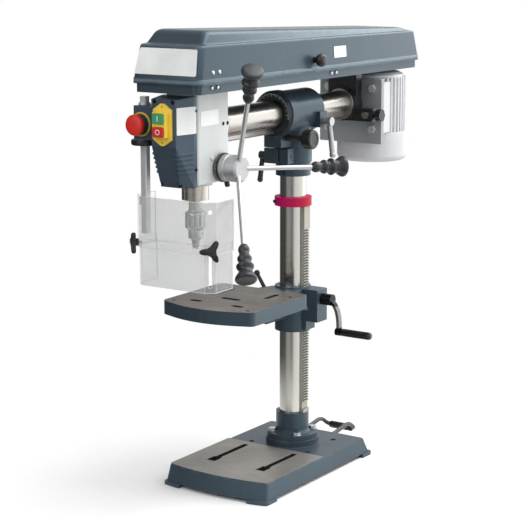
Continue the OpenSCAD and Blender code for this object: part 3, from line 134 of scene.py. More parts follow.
def sprayed(name, colour, worn, gloss, radius=0.0018, peel=0.00005, sheen=(1.0, 1.0, 1.0)):
    """Sprayed paint on metal: blotchy tone, orange-peel skin, dull patches, edges rubbed paler."""
    m, tree, surface = finish(name, IOR=1.5, Specular_Tint=sheen)
    cloud = spread(tree, grain(tree, 9, 5), 0.3, 0.7)
    tone = tint(tree, cloud, shaded(colour, 0.84), colour)
    patchy = spread(tree, grain(tree, 60, 4), 0.4, 0.62)
    rubbed = maths(tree, "MULTIPLY", edge_share(tree, radius), patchy)
    tone = tint(tree, maths(tree, "MULTIPLY", rubbed, 0.5), tone, worn)
    tree.links.new(tone, surface.inputs["Base Color"])
    dull = spread(tree, grain(tree, 25, 6), 0.25, 0.75, gloss + 0.03, gloss + 0.11)
    tree.links.new(dull, surface.inputs["Roughness"])
    coarse = maths(tree, "MULTIPLY", grain(tree, 90, 3), 1.6)
    peel_height = maths(tree, "ADD", grain(tree, 420, 3), coarse)
    ripple(tree, surface, peel_height, peel, radius)
    return m, tree, surface


def ground_top(finished, height, tolerance, low, high, half, front, rear):
    """Adds a ground bright face to a sprayed casting, where it faces up within a tolerance of a height.
    Faces that are not ground, inside |x| < half and front < y < rear where the slots are cut, get a
    painted shade."""
    m, tree, surface = finished
    at = step(tree, "TexCoord", {}, "Object")
    x, y, z = [axis_of(tree, at, i) for i in range(3)]
    level = maths(tree, "ABSOLUTE", maths(tree, "SUBTRACT", z, height))
    up = axis_of(tree, step(tree, "NewGeometry", {}, "True Normal"), 2)
    near = maths(tree, "LESS_THAN", level, tolerance)
    share = maths(tree, "MULTIPLY", near, maths(tree, "GREATER_THAN", up, 0.95))
    lines = grain(tree, 1, 5, (18, 900, 1))
    bare = tint(tree, spread(tree, grain(tree, 7, 7), 0.35, 0.7), low, high)
    bare = tint(tree, spread(tree, lines, 0.35, 0.7, 0.0, 0.35), bare, shaded(low, 0.62))
    inside = maths(tree, "LESS_THAN", maths(tree, "ABSOLUTE", x), half)
    inside = maths(tree, "MULTIPLY", inside, maths(tree, "GREATER_THAN", y, front))
    inside = maths(tree, "MULTIPLY", inside, maths(tree, "LESS_THAN", y, rear))
    # Painted shade: faces in the slot box that are not ground turn dark brown-grey, as the slots' depths
    # lie in shade.
    painted = tint(tree, inside, surface.inputs["Base Color"].links[0].from_socket, chip(42, 39, 37))
    gloss = surface.inputs["Roughness"].links[0].from_socket
    tree.links.new(tint(tree, share, painted, bare), surface.inputs["Base Color"])
    tree.links.new(maths(tree, "MULTIPLY", share, 0.7), surface.inputs["Metallic"])
    sheen = tuple(surface.inputs["Specular Tint"].default_value)[:3]
    tree.links.new(tint(tree, share, sheen, (1.0, 0.98, 0.95)), surface.inputs["Specular Tint"])
    keen = spread(tree, lines, 0.3, 0.7, 0.36, 0.52)
    tree.links.new(step(tree, "Mix", {0: share, 2: gloss, 3: keen}), surface.inputs["Roughness"])
    return m


def dress(material, *names):
    """Gives CAD nodes a finish."""
    for name in names:
        nodes[name].data.materials.clear()
        nodes[name].data.materials.append(material)


blue_grey = chip(57, 67, 76)
blue_sheen = (0.55, 0.86, 1.0)
# Pale blue-grey of rubbed edges; on the lid it is also the painted highlight along its ridges.
blue_wear_and_highlight = chip(140, 158, 170)
ground_low, ground_high = chip(134, 131, 127), chip(162, 159, 154)
base_paint = sprayed("base_paint", blue_grey, blue_wear_and_highlight, 0.3, sheen=blue_sheen)
# Box of the base's slots, whose faces get the painted shade.
base_slot_shade = dict(half=0.08, front=-0.29, rear=-0.08)
dress(ground_top(base_paint, 46 * mm, 0.4 * mm, ground_low, ground_high, **base_slot_shade), "base_casting")
cast_blue = sprayed("cast_blue_paint", blue_grey, blue_wear_and_highlight, 0.26, sheen=blue_sheen)[0]
dress(cast_blue, "column_flange")

# Flange bolts: four hexagon screws of zinc-plated steel, screwed into the base to hold the flange down,
# each on a plain stamped washer.


def plated(name, colour, rough):
    """Bright zinc plate: faint clouds and tiny scratches."""
    m, tree, surface = finish(name, Metallic=1.0)
    clouds = spread(tree, grain(tree, 130, 4), 0.3, 0.7)
    tree.links.new(tint(tree, clouds, shaded(colour, 0.8), colour), surface.inputs["Base Color"])
    dull = spread(tree, grain(tree, 300, 3), 0.3, 0.7, rough, rough + 0.15)
    tree.links.new(dull, surface.inputs["Roughness"])
    ripple(tree, surface, grain(tree, 900, 2), 0.00002, 0.0006)
    return m, tree, surface


def skin(name, sheets, material, body, stands_for=(), foot=True, head=True):
    """One piece from grids of points (rows, columns, 3). Columns close round on themselves, the first
    and last rows close on their own middle unless left open, and faces are merged and turned outwards."""
    points, faces, start = [], [], 0
    for g in sheets:
        rows, cols = g.shape[:2]
        ring = np.arange(cols)
        after = (ring + 1) % cols
        row = np.arange(rows - 1)[:, None] * cols + start
        last = start + (rows - 1) * cols
        tip = start + rows * cols
        quads = np.stack([row + ring, row + after, row + after + cols, row + ring + cols], -1)
        faces += quads.reshape(-1, 4).tolist()
        if foot:
            faces += np.stack([np.full(cols, tip), start + after, start + ring], -1).tolist()
        if head:
            faces += np.stack([np.full(cols, tip + 1), last + ring, last + after], -1).tolist()
        points.append(np.vstack([g.reshape(-1, 3), g[0].mean(0)[None], g[-1].mean(0)[None]]))
        start = tip + 2
    mesh = bpy.data.meshes.new(name)
    mesh.from_pydata(np.vstack(points).tolist(), [], faces)
    b = bmesh.new()
    b.from_mesh(mesh)
    bmesh.ops.remove_doubles(b, verts=b.verts, dist=1e-6)
    bmesh.ops.delete(b, geom=[v for v in b.verts if not v.link_faces], context="VERTS")
    bmesh.ops.recalc_face_normals(b, faces=b.faces)
    b.to_mesh(mesh)
    b.free()
    mesh.polygons.foreach_set("use_smooth", np.ones(len(mesh.polygons), bool))
    mesh.set_sharp_from_angle(angle=math.radians(38))
    mesh.materials.append(material)
    piece = bpy.data.objects.new(name, mesh)
    bpy.context.scene.collection.objects.link(piece)
    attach(piece, body)
    if stands_for:
        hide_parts(*stands_for)
    return piece


def turned(profile, at, axis, around=40):
    """P(s, t) = at + h(s) a + r(s) (cos t e1 + sin t e2): rows of (height, radius), turned about an axis
    a through a point, with e1 and e2 square to it."""
    a = np.array(axis, float) / np.linalg.norm(axis)
    e1 = np.cross(a, (0.31, 0.52, 0.79))
    e1 /= np.linalg.norm(e1)
    t = np.linspace(0, 2 * np.pi, around, endpoint=False)[:, None]
    ring = np.cos(t) * e1 + np.sin(t) * np.cross(a, e1)
    h, r = np.array(profile, float).T[:, :, None, None]
    return mm * (np.array(at, float) + h * a + r * ring)


def eased_line(points, share=0.3, n=5):
    """A line through points whose corners are cut back by a share of their shorter leg and drawn as
    parabolas: (1 - t)^2 start + 2 t (1 - t) corner + t^2 end."""
    p = np.array(points, float)
    a, b, c = p[:-2], p[1:-1], p[2:]
    la, lc = [np.linalg.norm(v, axis=1, keepdims=True) for v in (b - a, c - b)]
    cut = share * np.minimum(la, lc)
    s, e = b + (a - b) / la * cut, b + (c - b) / lc * cut
    t = np.linspace(0, 1, n)[:, None, None]
    bend = (1 - t) ** 2 * s + 2 * t * (1 - t) * b + t**2 * e
    return np.vstack([p[:1], bend.transpose(1, 0, 2).reshape(-1, p.shape[1]), p[-1:]])


zinc = plated("zinc_plate", chip(205, 208, 212), 0.22)[0]
dress(zinc, "flange_bolts")
flange_top, bolt_circle = 70.0, 47.5
bolt_turns = np.radians([45, 135, 225, 315])
bolt_at = [(bolt_circle * math.cos(a), bolt_circle * math.sin(a), flange_top) for a in bolt_turns]
washer = [(0, 5.2), (0, 10.4), (1.3, 10.4), (1.6, 10.0), (1.6, 5.2)]
washers = [turned(washer, at, (0, 0, 1), 28) for at in bolt_at]
skin("flange_washers", washers, zinc, "base", foot=False, head=False)

# Column and its rack: a drawn steel tube, ground and polished, stands clamped in the flange. The rack is
# milled from steel bar and held against the tube, so that the table can climb on it.


def polished(name, colour, rough, along, streak=0.25, metal=1.0, shade_gap=0.0):
    """Ground and polished steel: fine rings across the bar's length, soft oily clouds along it. Where a
    shade_gap size is given, hollows as narrow as that, such as tooth spaces, get a painted shade."""
    m, tree, surface = finish(name, Metallic=metal, Anisotropic=0.35)
    fine = [6.0, 6.0, 6.0]
    fine[along] = 2600.0
    soft = [14.0, 14.0, 14.0]
    soft[along] = 1.2
    rings = grain(tree, 1, 3, fine)
    clouds = grain(tree, 1, 5, soft)
    tone = tint(tree, spread(tree, clouds, 0.3, 0.7), shaded(colour, 1 - streak), colour)
    tone = tint(tree, spread(tree, rings, 0.35, 0.75, 0.0, 0.12), tone, shaded(colour, 0.6))
    if shade_gap:
        # Painted shade: ambient occlusion darkens narrow hollows such as tooth spaces.
        open_share = step(tree, "AmbientOcclusion", {"Distance": shade_gap}, "AO", samples=8)
        tone = tint(tree, spread(tree, open_share, 0.3, 0.75), shaded(colour, 0.13), tone)
    tree.links.new(tone, surface.inputs["Base Color"])
    tree.links.new(spread(tree, rings, 0.3, 0.7, rough, rough + 0.06), surface.inputs["Roughness"])
    ripple(tree, surface, rings, 0.000003, 0.0008)
    return m


column_steel = polished("column_steel", chip(202, 199, 193), 0.17, 2, 0.12)
rack_steel = polished("rack_steel", chip(182, 179, 168), 0.5, 2, metal=0.5, shade_gap=0.006)
dress(column_steel, "column")
dress(rack_steel, "table_rack")

# Rack collar: a turned steel ring, sprayed crimson, that keeps the rack's upper end against the column.
# Its colour runs from magenta on the left to a darker red on the right. One black set screw holds it.
crimson, tree, surface = sprayed("crimson_paint", chip(200, 20, 78), chip(215, 60, 100), 0.44, 0.0015)
surface.inputs["Specular IOR Level"].default_value = 0.25
# Colour runs from magenta on the left to a darker red on the right.
left_to_right = spread(tree, axis_of(tree, place(tree, (16, 16, 16)), 0), -0.5, 0.8)
side_tone = tint(tree, left_to_right, chip(222, 8, 126), chip(172, 8, 38))
tree.links.new(side_tone, surface.inputs["Base Color"].links[0].from_node.inputs[6])
dress(crimson, "rack_collar")


def moulded(name, colour, rough, pitch=700, depth=0.00004, radius=0.0012, sheen=(1.0, 1.0, 1.0)):
    """Moulded plastic: even colour with a slight cloud, a fine sparked texture from the mould."""
    m, tree, surface = finish(name, IOR=1.48, Specular_Tint=sheen)
    tone = tint(tree, spread(tree, grain(tree, 18, 4), 0.3, 0.7), shaded(colour, 0.86), colour)
    tree.links.new(tone, surface.inputs["Base Color"])
    dull = spread(tree, grain(tree, 45, 4), 0.3, 0.7, rough, rough + 0.12)
    tree.links.new(dull, surface.inputs["Roughness"])
    ripple(tree, surface, grain(tree, pitch, 3), depth, radius)
    return m


black_knob = moulded("black_moulding", chip(30, 31, 33), 0.3)
screw_turn = np.radians(235)
screw_axis = (math.cos(screw_turn), math.sin(screw_turn), 0)
screw_head = eased_line([(34, 3.7), (48, 3.7), (48, 0)], 0.25)
set_screw = turned(screw_head, (0, 0, 609), screw_axis, 20)
skin("collar_screw", [set_screw], black_knob, "base")

# Carry handle: a round steel bar, bent to a bow, sprayed dark grey and fixed in the back of the base.
# A sleeve of black plastic is pushed over its middle.


def drawn(path, section, ref):
    """P(s, t) = c(s) + x(t) n(s) + y(t) b(s), a section carried along a path c, where n is the reference
    direction crossed with the path's tangent, and b is the tangent crossed with n."""
    c = np.array(path, float)
    tangent = np.gradient(c, axis=0)
    tangent /= np.linalg.norm(tangent, axis=1, keepdims=True)
    n = np.cross(np.array(ref, float), tangent)
    n /= np.linalg.norm(n, axis=1, keepdims=True)
    b = np.cross(tangent, n)
    s = np.array(section, float)
    return mm * (c[:, None] + s[..., :1] * n[:, None] + s[..., 1:] * b[:, None])


def round_bar(radius, around=20):
    """A circle of points: radius (cos t, sin t)."""
    t = np.linspace(0, 2 * np.pi, around, endpoint=False)
    return radius * np.stack([np.cos(t), np.sin(t)], -1)


handle_steel = sprayed("handle_paint", chip(54, 58, 64), chip(140, 145, 150), 0.2, 0.001)[0]
legs = [(-39, 113, 34), (-39, 191, 45), (-39, 222, 23), (39, 222, 23), (39, 191, 45), (39, 113, 34)]
bar = drawn(eased_line(legs, 0.42, 9), round_bar(5.0), (0.21, 0.43, 0.88))
skin("carry_bar", [bar], handle_steel, "base", ["carry_handle"])
sleeve_rows = [(-31, 5.0), (-31, 7.6), (-29.5, 8.4), (29.5, 8.4), (31, 7.6), (31, 5.0)]
sleeve = turned(sleeve_rows, (0, 222, 23), (1, 0, 0), 28)
grip_node = ["carry_handle_grip"]
skin("carry_grip", [sleeve], black_knob, "base", grip_node, foot=False, head=False)

# Work table: a ribbed iron casting with slots, ground on top and sprayed below, in one piece with the
# split collar and the gear housing. The gear and worm in it are machined steel, and a black lever on a
# screw draws the collar tight.
table_paint = sprayed("table_paint", blue_grey, blue_wear_and_highlight, 0.32, sheen=blue_sheen)
table_low, table_high = chip(88, 84, 81), chip(130, 125, 119)
# Box of the table's slots, whose faces get the painted shade.
table_slot_shade = dict(half=0.095, front=-0.34, rear=-0.075)
dress(ground_top(table_paint, 425 * mm, 0.5 * mm, table_low, table_high, **table_slot_shade), "work_table")
machined = polished("machined_steel", chip(170, 170, 172), 0.3, 0, 0.15)
dress(machined, "lift_gear", "crank_shaft")
black_paint = sprayed("black_paint", chip(38, 39, 41), chip(110, 112, 115), 0.2, 0.001)[0]
dress(black_paint, "table_clamp_lever")

# Crank: a forged steel arm on the worm shaft, bright between two black bosses, with a black plastic grip
# that turns on its pin.
crank_z, grip_z = 390, 319


def off_line(tree, height):
    """How far a point lies from the line along X at a height: root of (y^2 + (z - height)^2)."""
    at = step(tree, "TexCoord", {}, "Object")
    rise = maths(tree, "SUBTRACT", axis_of(tree, at, 2), height)
    squares = [maths(tree, "POWER", side, 2.0) for side in (rise, axis_of(tree, at, 1))]
    return maths(tree, "SQRT", maths(tree, "ADD", *squares))


crank_metal, tree, surface = plated("crank_forging", chip(130, 130, 131), 0.3)
shaft_boss = maths(tree, "LESS_THAN", off_line(tree, crank_z * mm), 13.5 * mm)
grip_boss = maths(tree, "LESS_THAN", off_line(tree, grip_z * mm), 11 * mm)
boss = maths(tree, "MAXIMUM", shaft_boss, grip_boss)
forged = surface.inputs["Base Color"].links[0].from_socket
tree.links.new(tint(tree, boss, forged, chip(40, 41, 43)), surface.inputs["Base Color"])
dress(crank_metal, "crank_arm")
crank_black = moulded("crank_black", chip(19, 19, 20), 0.17)
grip_rows = [(0, 0), (0, 7.4), (4, 8.6), (70, 8.6), (76, 7.2), (77, 0)]
crank_sleeve = turned(eased_line(grip_rows, 0.35), (131, 0, grip_z), (1, 0, 0), 32)
skin("crank_handle", [crank_sleeve], crank_black, "crank_grip", ["crank_grip"])

# Saddle: the iron casting that sits on the column and carries the ram in a split sleeve, sprayed
# blue-grey. A black forged lever clamps it to the column.
dress(cast_blue, "saddle_casting")
dress(black_paint, "saddle_clamp_lever")

# Tilt scale: a turned steel ring on the front of the saddle's sleeve, sprayed black and printed with
# pale degree marks, longer at every fifteenth degree.


def strips(starts, ends, across, out, half_width, proud):
    """Small flat bars between pairs of points: each a loop of four points carried from start to end."""
    a, b, w, o = [np.array(v, float) for v in (starts, ends, across, out)]
    side, top = w * half_width, o * proud
    loop = np.stack([side, side + top, top - side, -side], 1)
    return [mm * np.stack([p + q, r + q]) for p, r, q in zip(a, b, loop)]


dress(sprayed("scale_black", chip(35, 40, 44), chip(90, 96, 100), 0.3, 0.0008)[0], "tilt_scale_ring")
print_white = moulded("print_white", chip(232, 234, 233), 0.4, 900, 0.00001, 0.0002)
tick = np.arange(-100, 101, 5)
lean = np.radians(tick)
outward = np.stack([np.sin(lean), 0 * lean, np.cos(lean)], -1)
round_about = np.stack([np.cos(lean), 0 * lean, -np.sin(lean)], -1)
scale_at = np.array([0, -88.9, 811])
inner = np.where(tick % 15 == 0, 39.5, 42.5)[:, None]
forward = np.tile([0.0, -1.0, 0.0], (len(tick), 1))
marks = strips(scale_at + inner * outward, scale_at + 46.5 * outward, round_about, forward, 0.45, 0.35)
skin("tilt_marks", marks, print_white, "saddle")

# Ram: a polished steel tube that slides through the sleeve, with its milled rack below and a black
# bracket on its rear end for the motor's slide rods. The rack is wound along by a black knob on a pinion
# shaft, and a bright cast lever locks it.
ram_steel = polished("ram_steel", chip(190, 186, 180), 0.25, 1, 0.12)
dress(ram_steel, "ram_tube", "slide_rods")
dress(polished("ram_rack_steel", chip(186, 183, 178), 0.3, 1, shade_gap=0.005), "ram_rack")
dress(black_paint, "ram_end_bracket", "ram_pinion_shaft")
dress(plated("cast_alloy", chip(196, 196, 195), 0.42)[0], "ram_clamp_lever")
disc_rows = [(0, 8), (0, 19.5), (3, 21.5), (21, 21.5), (24, 19.5), (24, 14), (22.8, 12.5), (22.8, 0)]
disc = turned(eased_line(disc_rows, 0.3), (68, -58, 758.35), (1, 0, 0), 48)
skin("ram_knob_disc", [disc], black_knob, "ram_drive", ["ram_knob"])

# Head casting: an iron box for the quill, cast and sprayed off-white, fixed on the ram's front end. It
# has a bare white label and two black set screws on its right side.
pale_paint = sprayed("pale_paint", chip(208, 212, 211), chip(232, 234, 233), 0.36, 0.002)[0]
dress(pale_paint, "head_casting")


def outline(w, h, r, n=6):
    """A rectangle of half sizes w, h with round corners: the corner's centre + r (cos t, sin t), a quarter
    turn at each."""
    t = (np.arange(4)[:, None] * 90 + np.linspace(0, 90, n)).ravel() * np.pi / 180
    sx, sy = np.repeat([1, -1, -1, 1], n), np.repeat([1, 1, -1, -1], n)
    return np.stack([sx * (w - r) + r * np.cos(t), sy * (h - r) + r * np.sin(t)], -1)


def slab(centre, across, up, size, thick, corner):
    """A thin plate: rounded outlines stacked along its own out direction, the front ones drawn in."""
    u, v = [np.array(d, float) / np.linalg.norm(d) for d in (across, up)]
    out = np.cross(u, v)
    rise = np.array([0, 0.6, 0.9, 1.0, 1.0]) * thick
    inset = np.array([0, 0, 0.12, 0.4, 1.2]) * thick
    loops = np.stack([outline(size[0] / 2 - i, size[1] / 2 - i, corner - i) for i in inset])
    grid = loops[..., :1] * u + loops[..., 1:] * v + rise[:, None, None] * out
    return mm * (np.array(centre, float) + grid)


label_white = moulded("label_white", chip(243, 244, 244), 0.34, 1400, 0.00001, 0.0003)
head_plate = slab((40.0, -379, 831.5), (0, 1, 0), (0, 0, 1), (62, 31), 0.5, 2)
skin("head_label", [head_plate], label_white, "head")
socket = [(0, 4.0), (0.8, 4.0), (1.0, 3.6), (1.0, 2.0), (-1.0, 2.0), (-1.0, 0)]
screw_black = plated("black_oxide", chip(46, 46, 48), 0.34)[0]
set_screws = [turned(socket, (39.6, y, z), (1, 0, 0), 24) for y, z in ((-331, 815.5), (-315.5, 815.5))]
skin("head_set_screws", set_screws, screw_black, "head", foot=False)
dress(screw_black, "head_screws")

# Front cover: a dark moulded housing screwed over the head's front, with ribs low on its slanted sides,
# a bare white label, and a yellow switch plate whose two push buttons carry a bar and a ring.
cover_plastic = moulded("cover_plastic", chip(66, 76, 88), 0.28, 900, 0.00003, 0.0022, blue_sheen)
dress(cover_plastic, "front_cover", "estop_box", "spring_cap")
yellow = moulded("switch_yellow", chip(246, 212, 78), 0.34, 900, 0.00003, 0.0012)
dress(yellow, "switch_plate")
green = moulded("button_green", chip(62, 160, 112), 0.3, 900, 0.00002, 0.0014)
red = moulded("button_red", chip(214, 48, 42), 0.28, 900, 0.00002, 0.0014)
dress(green, "start_button")
dress(red, "stop_button")
cover_plate = slab((36.0, -454, 831.5), (10, 49, 0), (0, 0, 1), (53, 55), 0.5, 2)
skin("cover_label", [cover_plate], label_white, "head")
cap_y, start_z, stop_z, ring_radius = -503.5, 838, 811, 4.8
on_bar = slab((0, cap_y, start_z), (1, 0, 0), (0, 0, 1), (2.4, 11), 0.35, 0.6)
skin("start_mark", [on_bar], print_white, "start_button")
turn = np.linspace(0, 2 * np.pi, 41)
ring_x, ring_z = ring_radius * np.cos(turn), stop_z + ring_radius * np.sin(turn)
ring_line = np.stack([ring_x, 0 * turn + cap_y, ring_z], -1)
off_ring = drawn(ring_line, outline(0.9, 0.35, 0.2, 3), (0, 1, 0))
skin("stop_mark", [off_ring], print_white, "stop_button", foot=False, head=False)

# Emergency stop: a moulded red mushroom that is pushed in by the palm, in a yellow ring, on its own box
# beside the front cover. A black disc inside the ring shows the mushroom's black neck, and painted shade
# in the gap round it.
ring_yellow = moulded("ring_yellow", chip(205, 184, 66), 0.42, 900, 0.00003, 0.001)
stop_red = moulded("stop_red", chip(218, 44, 32), 0.34, 900, 0.00002, 0.0014)
mushroom_rows = [(0, 0), (0, 13), (6, 15), (8.5, 21), (10, 21.7)]
mushroom_rows += [(17.5, 21.7), (21.4, 18.6), (22.5, 10), (22.6, 0)]
stop_foot, stop_face, stop_way = (-74, -466.6, 819), (-74, -458.8, 819), (0, -1, 0)
mushroom = turned(eased_line(mushroom_rows, 0.36, 6), stop_foot, stop_way, 56)
skin("estop_head", [mushroom], stop_red, "estop_button", ["estop_button"])
collar_rows = eased_line([(0, 25), (3.2, 25), (4.2, 23.8), (4.2, 21.6), (1.4, 20.6)], 0.3)
collar = turned(collar_rows, stop_face, stop_way, 56)
skin("estop_ring", [collar], ring_yellow, "head", foot=False, head=False)
# Black disc: the mushroom's black neck, and painted shade in the gap inside the ring.
neck_and_shade = turned([(1.4, 20.7), (1.6, 13)], stop_face, stop_way, 56)
skin("estop_neck_and_shade", [neck_and_shade], black_knob, "head", foot=False, head=False)

# Feed: a turned aluminium hub with a dark depth ring, on a pinion shaft that a coiled spring turns back.
# Three bright steel rods are screwed into the hub, with ribbed rubber grips pushed over their ends.
alloy = polished("turned_alloy", chip(192, 193, 195), 0.5, 0, 0.06)
dress(alloy, "feed_hub", "feed_shaft")
dress(machined, "return_spring")
rod_steel = polished("rod_steel", chip(196, 196, 197), 0.34, 0, 0.06)
dress(rod_steel, "feed_levers")
dress(moulded("depth_ring_black", chip(40, 41, 43), 0.36), "depth_ring")
mark = np.radians(np.arange(0, 360, 9))
rim = np.stack([0 * mark, np.cos(mark), np.sin(mark)], -1)
about = np.stack([0 * mark, -np.sin(mark), np.cos(mark)], -1)
feed_y, feed_z = -341, 726
depth_at = np.array([0, feed_y, feed_z]) + 30.45 * rim
reach = np.where(np.arange(len(mark)) % 5 == 0, 48.6, 47.2)[:, None] * [1, 0, 0]
depth_marks = strips(depth_at + [44.6, 0, 0], depth_at + reach, about, rim, 0.35, 0.2)
skin("depth_marks", depth_marks, print_white, "feed")
pointer = slab((41.2, -372, 748), (0, 1, 0), (0, 0, 1), (10, 6), 1.4, 1)
skin("depth_pointer", [pointer], print_white, "head")

grip_rows = [(0, 0), (0, 6), (3, 8.5), (8, 11.2), (12, 12), (16.5, 11), (21, 9.6), (25, 11.2)]
grip_rows += [(31, 15.2), (35.5, 14.4), (40, 11.9), (44, 13.4), (49, 18.8), (54, 17.2), (59, 13.5)]
grip_rows += [(64, 14.6), (70, 18.2), (75, 21.4), (79, 22.6), (82, 21.8), (84, 17.4), (84.6, 0)]
grip_line = eased_line(grip_rows, 0.48, 4)
lever_length, grip_length, hub_lean = 265.0, 84, math.radians(24.6)
hub_at = np.array([83, feed_y, feed_z])
grip_from = lever_length - grip_length


def lever_way(angle):
    """Direction of a feed lever, turned by phi about the feed axis and leaning out from the hub's face:
    (sin lean, -cos lean sin phi, cos lean cos phi)."""
    phi = math.radians(angle - 90)
    flat = math.cos(hub_lean)
    return np.array([math.sin(hub_lean), -flat * math.sin(phi), flat * math.cos(phi)])


ways = [lever_way(a) for a in (116.7, -3.3, -123.3)]
rubber = moulded("grip_rubber", chip(42, 45, 49), 0.27, 600, 0.00002, 0.0008)
grips = [turned(grip_line, hub_at + grip_from * w, w, 40) for w in ways]
skin("lever_grips", grips, rubber, "feed", ["feed_grips"])

# Quill and spindle: ground steel, running in steel bearings. The chuck on the spindle's taper is a keyed
# one of bright steel: a fluted body, a toothed ring under it, a sleeve with key holes and three jaws.
dress(polished("quill_steel", chip(186, 182, 174), 0.2, 2, 0.08), "quill", "spindle")
dress(machined, "quill_bearings")


def fluted(profile, at, around, waves, depth, power):
    """A turned surface about +Z, whose radius dips by depth (0.5 + 0.5 cos(waves t))^power where a row of
    (height, radius, mark) is marked with 1."""
    h, r, m = np.array(profile, float).T[:, :, None]
    t = np.linspace(0, 2 * np.pi, around, endpoint=False)
    rr = r - m * depth * (0.5 + 0.5 * np.cos(waves * t)) ** power
    return mm * (np.array(at, float) + np.stack([rr * np.cos(t), rr * np.sin(t), h + 0 * t], -1))


chuck_steel, tree, surface = plated("chuck_steel", chip(190, 190, 191), 0.16)
# Painted shade: concave places, such as the hollows of the flutes, are darkened.
hollows = spread(tree, step(tree, "NewGeometry", {}, "Pointiness"), 0.5, 0.46)
bright = surface.inputs["Base Color"].links[0].from_socket
tree.links.new(tint(tree, hollows, bright, chip(40, 40, 42)), surface.inputs["Base Color"])
spindle_y, jaw_circle, hole_z = -376, 4, 588
spindle_at = (0, spindle_y, 0)
body_rows = [(602, 0, 0), (602, 21, 0), (603.5, 22, 0), (605, 22, 1), (627, 22, 1), (629, 22, 0)]
body_rows += [(632, 21.5, 0), (635, 19.5, 0), (635, 15, 0), (639.5, 15, 0), (639.5, 0, 0)]
body = fluted(eased_line(body_rows, 0.2, 4), spindle_at, 144, 12, 1.6, 3)
tooth_rows = [(596, 15.5, 0), (596.4, 17, 1), (600.6, 21.4, 1), (602, 21.4, 0), (602, 15.5, 0)]
teeth = fluted(tooth_rows, spindle_at, 180, 36, 2.0, 1.5)
sleeve_rows = [(596, 14), (596, 15.5), (579.5, 15.5), (577.5, 14), (577, 9.4), (566, 7.6)]
sleeve_rows += [(559, 6.2), (558.6, 4)]
sleeve = turned(eased_line(sleeve_rows, 0.25, 4), spindle_at, (0, 0, 1), 48)
jaw_rows = [(556, 0), (556, 1.8), (558, 2.3), (572, 2.5), (572, 0)]
jaw_turns = np.radians([90, 210, 330])
jaw_at = [(jaw_circle * math.cos(a), spindle_y + jaw_circle * math.sin(a), 0) for a in jaw_turns]
jaws = [turned(jaw_rows, at, (0, 0, 1), 14) for at in jaw_at]
skin("chuck_body", [body, teeth, sleeve] + jaws, chuck_steel, "spindle", ["drill_chuck"])
# The key holes are shallow black cups, whose black is painted shade for the depth of the holes.
hole_rows = [(15.2, 3.4), (15.7, 3.4), (15.7, 2.9), (14.6, 2.9), (14.6, 0)]
hole_ways = [(math.cos(a), math.sin(a), 0) for a in np.radians([20, 140, 260])]
key_hole_shade = [turned(hole_rows, (0, spindle_y, hole_z), way, 20) for way in hole_ways]
skin("chuck_key_hole_shade", key_hole_shade, screw_black, "spindle", foot=False)

# Guard: a square steel rod in the stop box carries a bent sheet of clear plastic. A second sheet slides
# inside it, and two black three-armed knobs hold it at its height.
dress(polished("guard_rod_steel", chip(206, 207, 208), 0.3, 2, 0.08, 0.5), "guard_rod")
ring_rows = eased_line([(774, 13), (774, 27), (776, 29), (784, 29), (786, 27), (786, 13)], 0.3)
stop_ring = turned(ring_rows, (-83, -436, 0), (0, 0, 1), 48)
skin("guard_stop_ring", [stop_ring], black_knob, "guard", foot=False, head=False)


def clear_sheet(name, top):
    """Clear plastic sheet: smoky on its outer face only, almost nothing above a height where another sheet
    covers it, with painted shade on faces turned to the operator's right and a painted highlight along its
    cut edges and folds."""
    m, tree, surface = finish(name, IOR=1.49)
    at = step(tree, "TexCoord", {}, "Object")
    flat = step(tree, "NewGeometry", {}, "True Normal")
    from_chuck = step(tree, "VectorMath", {0: at, 1: (0.0, spindle_y * mm, 0.0)}, operation="SUBTRACT")
    facing = step(tree, "VectorMath", {0: flat, 1: from_chuck}, 1, operation="DOT_PRODUCT")
    not_left = maths(tree, "GREATER_THAN", axis_of(tree, flat, 0), -0.9)
    outer = maths(tree, "MULTIPLY", maths(tree, "GREATER_THAN", facing, 0.0), not_left)
    bare = maths(tree, "MULTIPLY", outer, maths(tree, "LESS_THAN", axis_of(tree, at, 2), top))
    smoke = spread(tree, grain(tree, 14, 4), 0.3, 0.7, 0.31, 0.36)
    film = maths(tree, "ADD", maths(tree, "MULTIPLY", bare, smoke), 0.03)
    # Painted highlight: cut edges and folds are paler and less clear.
    rim = edge_share(tree, 0.0024, 0.995, 0.94)
    tree.links.new(step(tree, "Mix", {0: rim, 2: film, 3: 0.8}), surface.inputs["Alpha"])
    # Painted shade: faces turned to the operator's right are a darker grey.
    right_face_shade = spread(tree, axis_of(tree, flat, 0), 0.2, 0.9)
    sheet = tint(tree, right_face_shade, chip(196, 198, 198), chip(142, 143, 144))
    tree.links.new(tint(tree, rim, sheet, chip(230, 231, 231)), surface.inputs["Base Color"])
    tree.links.new(spread(tree, grain(tree, 40, 5), 0.4, 0.75, 0.05, 0.14), surface.inputs["Roughness"])
    return m


dress(clear_sheet("clear_upper_sheet", 1.0), "guard_upper")
dress(clear_sheet("clear_lower_sheet", 563 * mm), "guard_lower")


def star(at, axis, up, depth):
    """Three arms: radius 10 + 15 ((1 + cos 3t) / 2)^2.4, drawn in towards both faces by the factor
    0.25 + 0.75 (1 - w^4)^0.25, where w goes from -1 to 1 through the depth."""
    a = np.array(axis, float) / np.linalg.norm(axis)
    u = np.array(up, float)
    v = np.cross(a, u)
    t = np.linspace(0, 2 * np.pi, 96, endpoint=False)
    w = np.linspace(-1, 1, 15)[:, None]
    r = (10 + 15 * (0.5 + 0.5 * np.cos(3 * t)) ** 2.4) * (0.25 + 0.75 * (1 - w**4) ** 0.25)
    r = np.where(np.abs(w) == 1, 0.25 * (10 + 0 * t), r)
    ring = np.cos(t)[:, None] * u + np.sin(t)[:, None] * v
    return mm * (np.array(at, float) + (w * depth / 2)[..., None] * a + r[..., None] * ring)


